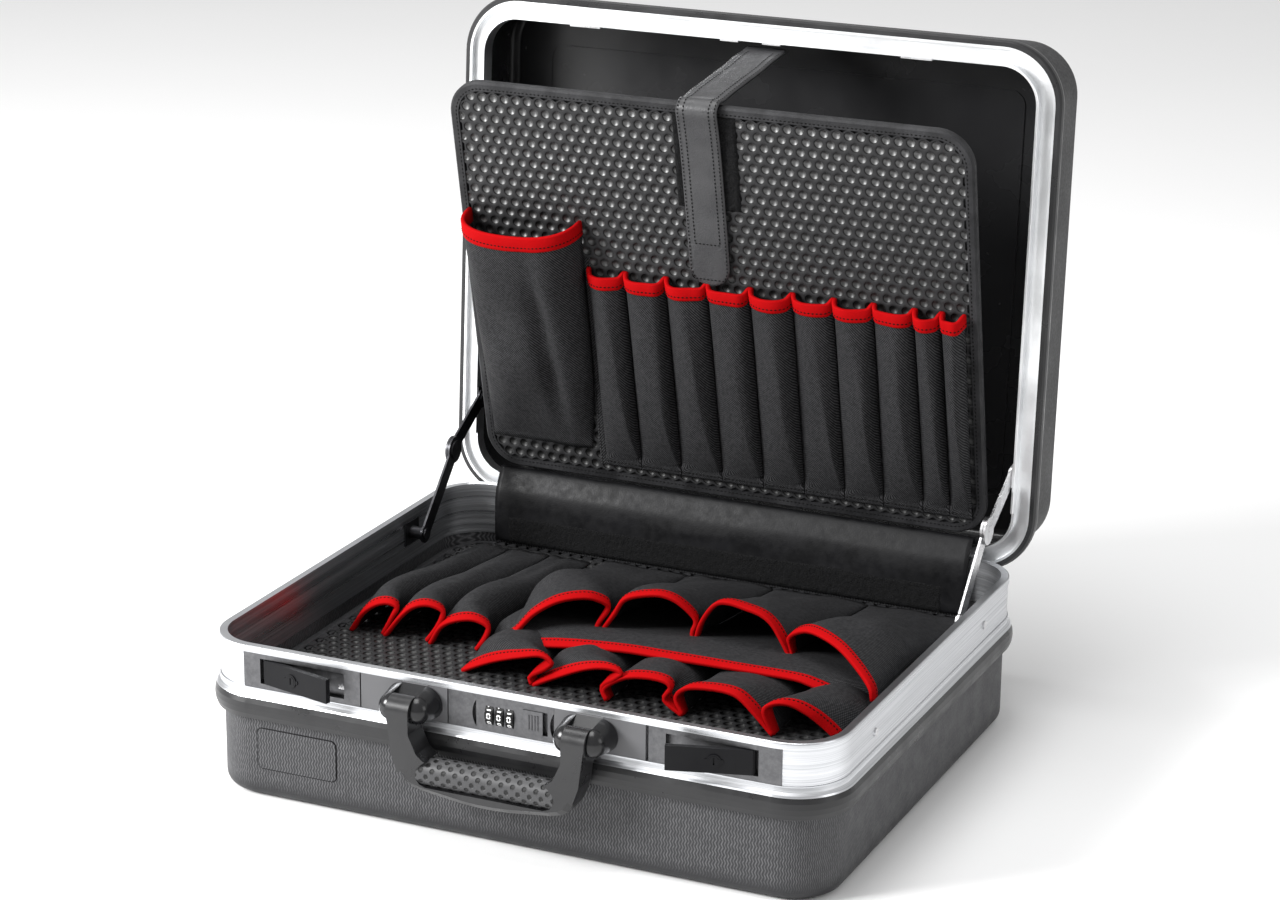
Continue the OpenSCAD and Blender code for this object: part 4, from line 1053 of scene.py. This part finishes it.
def seam_rows():
    """The cloth edge between the pouch and the narrow pockets, and the stitches that hold them down."""
    v = np.linspace(14, 192, 60)
    grid = np.stack([on_board(x, v, w) for x, w in SEAM_TAPE], axis=1)
    uv = arc_uv(grid).reshape(-1, 2)
    tape = new_object("seam_tape", grid.reshape(-1, 3), quads(len(v), 4), finish["cloth"], "board", uv=uv)
    rows = [(on_board(x, v, 0.75), np.tile(BOARD_OUT, (len(v), 1))) for x in SEAM_X]
    x = np.linspace(-102, 195, 90)
    rows.append((on_board(x, FOOT_SEAM, 3.2), np.tile(BOARD_OUT, (len(x), 1))))
    threads = stitches("seam_stitches", rows, finish["thread"], "board")


seam_rows()

# Mouths of the lower board's pockets, from left to right: points on the photo, in its pixels.
# Where a point has more numbers, they then move it up, right and back, in millimetres.
MOUTHS = {
    "front_1": [
        (461.6, 670.4), (491.9, 660.9), (521.1, 656.2), (541.3, 655.3),
        (552.6, 662.5), (545.8, 669.2), (530.1, 677.1), (532.3, 685),
    ],
    "front_2": [
        (532.3, 685), (554.8, 677.1), (584, 665.9, -2), (606.5, 661.8, -4),
        (622.2, 667, -4), (615.5, 674.9, -3), (602, 681.6, -4), (606.5, 700.7),
    ],
    "front_3": [
        (606.5, 700.7), (603.1, 688.3), (622.2, 674.9, -2), (644.7, 673.7, -2),
        (664.9, 678.2, -2), (670.6, 686.1, -2), (661.5, 699.3, 0, 2), (682.2, 715.6),
    ],
    "front_4": [
        (682.2, 715.6), (674.6, 697.2), (685.4, 686.3, -1), (707.2, 686.3, -1),
        (728.9, 690.6, -1), (742, 697.2, -2), (759.3, 716.7, -2), (772.4, 735.2),
    ],
    "front_5": [
        (772.4, 735.2), (759.3, 708, -2, 2, 1), (770.2, 701.5, -1, 2), (787.6, 701.5, -2, 2),
        (805, 712.4, -1, 2), (822.4, 727.6, 1), (833.2, 736.3),
    ],
    "back_1": [
        (505.4, 636.7), (516.6, 629.9), (532.3, 614.2), (554.8, 601.8), (577.3, 597.3),
        (595.3, 597.3, -1), (615.5, 606.3, -1, -4, -2), (597.5, 627.7, 2), (599.8, 632.2),
    ],
    "back_2": [
        (599.8, 632.2), (613.3, 614.2), (624.5, 597.3, -1), (648.5, 592.8, -1), (665.9, 590.6, -4),
        (681.1, 601.5, -2), (698.5, 617.8, -2, -2), (689.8, 636.3, 3, 2), (694.1, 641.1),
    ],
    "back_3": [
        (694.1, 641.1), (700.6, 618.9, -2), (713.7, 601.5, -2), (724.6, 596.1, -4, 2), (746.3, 608),
        (761.5, 609.1, -4), (772.4, 623.2, -1), (781.1, 638.5, -1), (785.4, 655.9, 2, 2), (791.9, 660.6),
    ],
    "back_4": [
        (791.9, 660.6), (787.6, 636.3, -2), (800.6, 630.9), (815.9, 631.9, -1),
        (837.6, 643.9, -2), (859.3, 666.7, -1, -2), (878.9, 688.5, -2, -7, 2), (872.4, 701.5),
    ],
    "long_1": [
        (350.3, 629.9), (361.6, 613.1), (375, 604.1), (388.5, 601.8, -0.4),
        (397.5, 606.3, -1), (393, 614.2, -3, -1), (382.9, 634.4),
    ],
    "long_2": [
        (384, 635.5), (399.8, 616.4), (413.2, 606.3), (429, 602.9, -1),
        (444.7, 608.6, -2, -1), (442.5, 618.7, -4, -2), (426.7, 641.1),
    ],
    "long_3": [
        (429, 643.4), (440.2, 626.5), (456, 619.8), (473.9, 618.7, -0.4),
        (489.7, 624.3, -2, -1), (487.4, 636.7, -1, -1), (476.2, 650.1),
    ],
    "band": [
        (478.4, 654.6), (498.6, 650.1), (554.8, 645.6), (620.2, 647.2, -2), (663.7, 658, 1),
        (707.2, 664.6, 0.7), (750.6, 672.2, 1), (791.9, 675.4, -2), (809.3, 683, -1),
        (828.9, 692.8, -1), (842, 703.7, 0, 3), (857.2, 718.9, 0, 3),
    ],
}
MOUTH_LIFT = 0.5
# The back row lies on the long middle pocket
BACK_LIFT = 16.4
# Behind its mouth the cloth first dips under the tape's thickness, then bulges, then lies flat
DIP = 0.8
DROOP = 3.4
DROOP_FROM = 5.0
DROOP_FADE = 60
ROW_SPREAD = 1.15


def mouth_points(name):
    """A mouth's points in the lower board's frame, on the upright plane through its two ends."""
    picks = MOUTHS[name]
    level = BOARD_Z + (BACK_LIFT if name.startswith("back") else MOUTH_LIFT)
    left, right = [seen_point(*picks[k][:2], UP, level) for k in (0, -1)]
    normal = unit(np.cross(UP, right - left))
    points = []
    for px, py, *moved in picks:
        rise, across, behind = moved + [0] * (3 - len(moved))
        seen = np.round(seen_point(px, py, normal, normal @ left), 1)
        points.append(seen + (across, behind, rise - BOARD_Z))
    return points


def laid_pocket(name, stations, node_name, rests_on, power=2.2, columns=41, rows=30, seed=5, rough=1.2):
    """A pocket on the lower board: from its mouth back through arched stations (y, x0, x1, lift, height)."""
    sections = [catmull(mouth_points(name), columns)]
    for y, x0, x1, lift, height in stations:
        across, rise = power_arch(x0, x1, height, power, columns * 3)
        line = np.stack([across, np.full(columns * 3, float(y)), lift + rise], axis=1)
        sections.append(resample(line, columns))
    sections = np.array(sections)
    place = distances(sections[:, columns // 2])
    want = place[-1] * np.linspace(0, 1, rows) ** ROW_SPREAD
    grid = np.zeros((rows, columns, 3))
    for k in range(columns):
        for axis in range(3):
            grid[:, k, axis] = np.interp(want, place, sections[:, k, axis])
    smooth_rows(grid, 3)
    behind = want[:, None]
    middle = np.sin(np.linspace(0, math.pi, columns)) ** 0.5
    droop = DROOP * (1 - np.exp(-behind / DROOP_FROM)) - DIP
    grid[:, :, 2] += middle * droop * np.clip(2 - behind / DROOP_FADE, 0, 1)
    fold = soft_noise((rows, columns), (5, 6), rough, seed)
    fade = np.clip(np.linspace(0, 4, rows), 0, 1)[:, None]
    lift_floor = np.minimum(grid[:, :1, 2], grid[:, -1:, 2])
    grid[:, :, 2] = np.maximum(grid[:, :, 2] + fold * fade, np.maximum(lift_floor, 0.4))
    world = flat_up(grid[:, :, 0], grid[:, :, 1], grid[:, :, 2])
    pocket_object(name + "_cloth", world, "base", LAID_HEM, node_name)


LAID_HEM = 9.0
SIDE_GAP = 0.4
BAND_X = (-97, 209)
LONG_X = [-204.3, -176.3, -140.4, -104.9]
FRONT_X = [-93.4, -35.5, 24.1, 80.3, 152, 205]
BACK_X = [-94, -22, 48, 125, 205]
# Distance back, lift of the sides and arch height
LONG_STATIONS = [(0, 0.4, 23), (40, 0.4, 20), (110, 0.4, 11), (150, 0.4, 5), (168, 0.4, 1.6)]
FRONT_STATIONS = [(-50, 0.4, 20), (-20, 0.4, 16), (18, 0.4, 10), (58, 0.4, 3)]
BAND_STATIONS = [(18, 0.4, 17), (60, 0.4, 12), (100, 0.4, 8), (168, 0.4, 2)]
BACK_STATIONS = [(40, 15.5, 25), (70, 12, 20), (100, 8.6, 14), (140, 5, 7), (168, 2.8, 2)]


def pocket_row(name, sides, stations, rests_on, seed, **settings):
    """A row of pockets side by side, numbered from the left."""
    for i, (left, right) in enumerate(zip(sides, sides[1:])):
        arches = [(y, left + SIDE_GAP, right - SIDE_GAP, lift, height) for y, lift, height in stations]
        laid_pocket(f"{name}_{i + 1}", arches, name + "_pockets", rests_on, seed=seed + i, **settings)


board_face = "lower_board_dimpled_face"
pocket_row("long", LONG_X, LONG_STATIONS, [board_face], 60)
pocket_row("front", FRONT_X, FRONT_STATIONS, [board_face], 70, rows=22)
band_arches = [(-15, BAND_X[0] + 1, BAND_X[1] - 1, 0.4, 21)]
band_arches += [(y, *BAND_X, lift, height) for y, lift, height in BAND_STATIONS]
laid_pocket("band", band_arches, "band_pocket", ["front_1_cloth", board_face], 7, 121, seed=80, rough=1.6)
pocket_row("back", BACK_X, BACK_STATIONS, ["band_cloth"], 90)


# Strap, pads and flap

STRAP_HALF = 16.0
STRAP_T = 1.8
STRAP_CROWN = 0.5
# The strap's middle on the board and on the lid, and the stretch over which it moves across
STRAP_X = (-1.5, 9.0)
SHIFT_FROM = 140
SHIFT_OVER = 110
# Height up the board and distance from its face
STRAP_FRONT = [(182.0, 3.6), (200, 3.4), (240, 3.4), (285, 4.2), (308, 5.6), (318, 6.8)]
# Depth and height of the part that runs back to the lid
STRAP_BACK = [(146, 457.5), (168, 462.5), (190, 467.5), (206, 471.5), (229, 474.5)]
STRAP_TURN = (320.5, -1.8)
STRAP_BEND = 9.5


def strap_line():
    """Side view of the strap as (y, z): down the board's front, over its top edge and back to the lid."""
    line = [on_board(0, v, w)[1:] for v, w in STRAP_FRONT]
    for a in np.radians(np.linspace(20, 120, 6)):
        v = STRAP_TURN[0] + STRAP_BEND * math.sin(a)
        w = STRAP_TURN[1] + STRAP_BEND * math.cos(a)
        line.append(on_board(0, v, w)[1:])
    return catmull([(y, z, 0) for y, z in line + STRAP_BACK], 90)[:, :2]


def make_strap():
    line = strap_line()
    place = distances(line)
    tangent = unit(np.gradient(line, axis=0))
    out = np.stack([-tangent[:, 1], tangent[:, 0]], axis=1)
    if out[0] @ BOARD_OUT[1:] < 0:
        out = -out
    across = np.linspace(-1, 1, 17)
    slide = np.clip((place - SHIFT_FROM) / SHIFT_OVER, 0, 1)
    middle = STRAP_X[0] + (STRAP_X[1] - STRAP_X[0]) * slide * slide * (3 - 2 * slide)
    tip = np.sqrt(np.clip(1 - np.clip(1 - place / STRAP_HALF, 0, 1) ** 2, 0.02, 1))
    grid = np.zeros((len(line), len(across), 3))
    crown = STRAP_CROWN * (1 - across**4)
    for k, a in enumerate(across):
        grid[:, k, 0] = middle + STRAP_HALF * a * tip
        grid[:, k, 1:] = line + out * crown[k]
    points, faces, uv = thin_shell(grid, STRAP_T, inward=(normals_of(grid)[10, 8, 1:] @ out[10]) > 0)
    strap = new_object("strap_sheet", points, faces, finish["strap"], None, uv=uv)
    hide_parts("strap_front", "strap_anchor")
    seat = line + out * 0.75
    rows = []
    for share, first in ((0.9, 2), (0.62, 12)):
        keep = slice(first, len(line) - 4)
        reach = STRAP_HALF * share * tip
        left, right = [np.column_stack([middle + side, seat])[keep] for side in (-reach, reach)]
        ways = np.column_stack([np.zeros(len(line)), out])[keep]
        rows.append((np.concatenate([left[::-1], right]), np.concatenate([ways[::-1], ways])))
    threads = stitches("strap_stitches", rows, finish["thread"], None, 3.0, 2.3, 1.2, 0.3)
    start = tuple(on_board(0, 330, 0) * MM)
    declare_cloth(grid)
    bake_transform(strap)
    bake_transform(threads)


make_strap()

PILE_PITCH = 1.6


def fuzzy_pad(name, x, other, place, node_name, body, rough, seed):
    """A strip of hook-and-loop with an uneven, hairy face."""
    nx = max(8, int((x[1] - x[0]) / PILE_PITCH))
    ny = max(8, int((other[1] - other[0]) / PILE_PITCH))
    gx, gy = np.meshgrid(np.linspace(*x, nx), np.linspace(*other, ny))
    height = 1.0 + np.random.default_rng(seed).uniform(0, rough, gx.shape)
    height[0] = height[-1] = 0.2
    height[:, 0] = height[:, -1] = 0.2
    points = place(gx, gy, height)
    pad = new_object(name, points.reshape(-1, 3), quads(ny, nx), finish["fuzz"], body)
    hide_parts(node_name)
    declare_cloth(place(gx, gy, np.ones_like(gx)))


def flap_place(x, z, h):
    """A point on the flap's upright part: across, up and out of its face."""
    x, z, h = np.broadcast_arrays(x, z, h)
    return np.stack([x, 183.9 - h, z], axis=-1)


fuzzy_pad("board_pad", (-24, 26), (244, 318), on_board, "velcro_pad", "board", 1.1, 21)
fuzzy_pad("flap_pad", (-185, 177), (71.2, 92.9), flap_place, "flap_velcro", "base", 0.9, 22)

FLAP_HALF = 196
FLAP_T = 1.1
# Side view of the flap as (y, z): up behind the boards, over the hinge line and down on the lid's frame
FLAP_SIDE = [
    (188.6, 71.6), (184.6, 71.8), (184.0, 80), (184.0, 96), (184.4, 104), (186.0, 112),
    (188.9, 118), (192.8, 124.6), (196.0, 127.8), (199.9, 126.6), (204.2, 123.2), (207.6, 119.6),
]


def make_flap():
    """The vinyl that joins the base and the lid behind the boards, one sheet across the hinge."""
    rows, columns = 60, 105
    grid = np.zeros((rows, columns, 3))
    grid[:, :, 0] = np.linspace(-FLAP_HALF, FLAP_HALF, columns)
    grid[:, :, 1:] = catmull([(y, z, 0) for y, z in FLAP_SIDE], rows)[:, None, :2]
    sag = soft_noise((rows, columns), (3, 7), 0.8, 31)
    middle = np.sin(np.linspace(0, math.pi, rows))[:, None] ** 2
    grid[:, :, 1] += np.abs(sag) * middle
    points, faces, uv = thin_shell(grid, FLAP_T, inward=normals_of(grid)[20, 50, 1] > 0)
    flap = new_object("flap_sheet", points, faces, finish["vinyl"], None, uv=uv)
    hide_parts("hinge_flap_base", "hinge_flap_lid")
    declare_cloth(grid)
    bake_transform(flap)


make_flap()
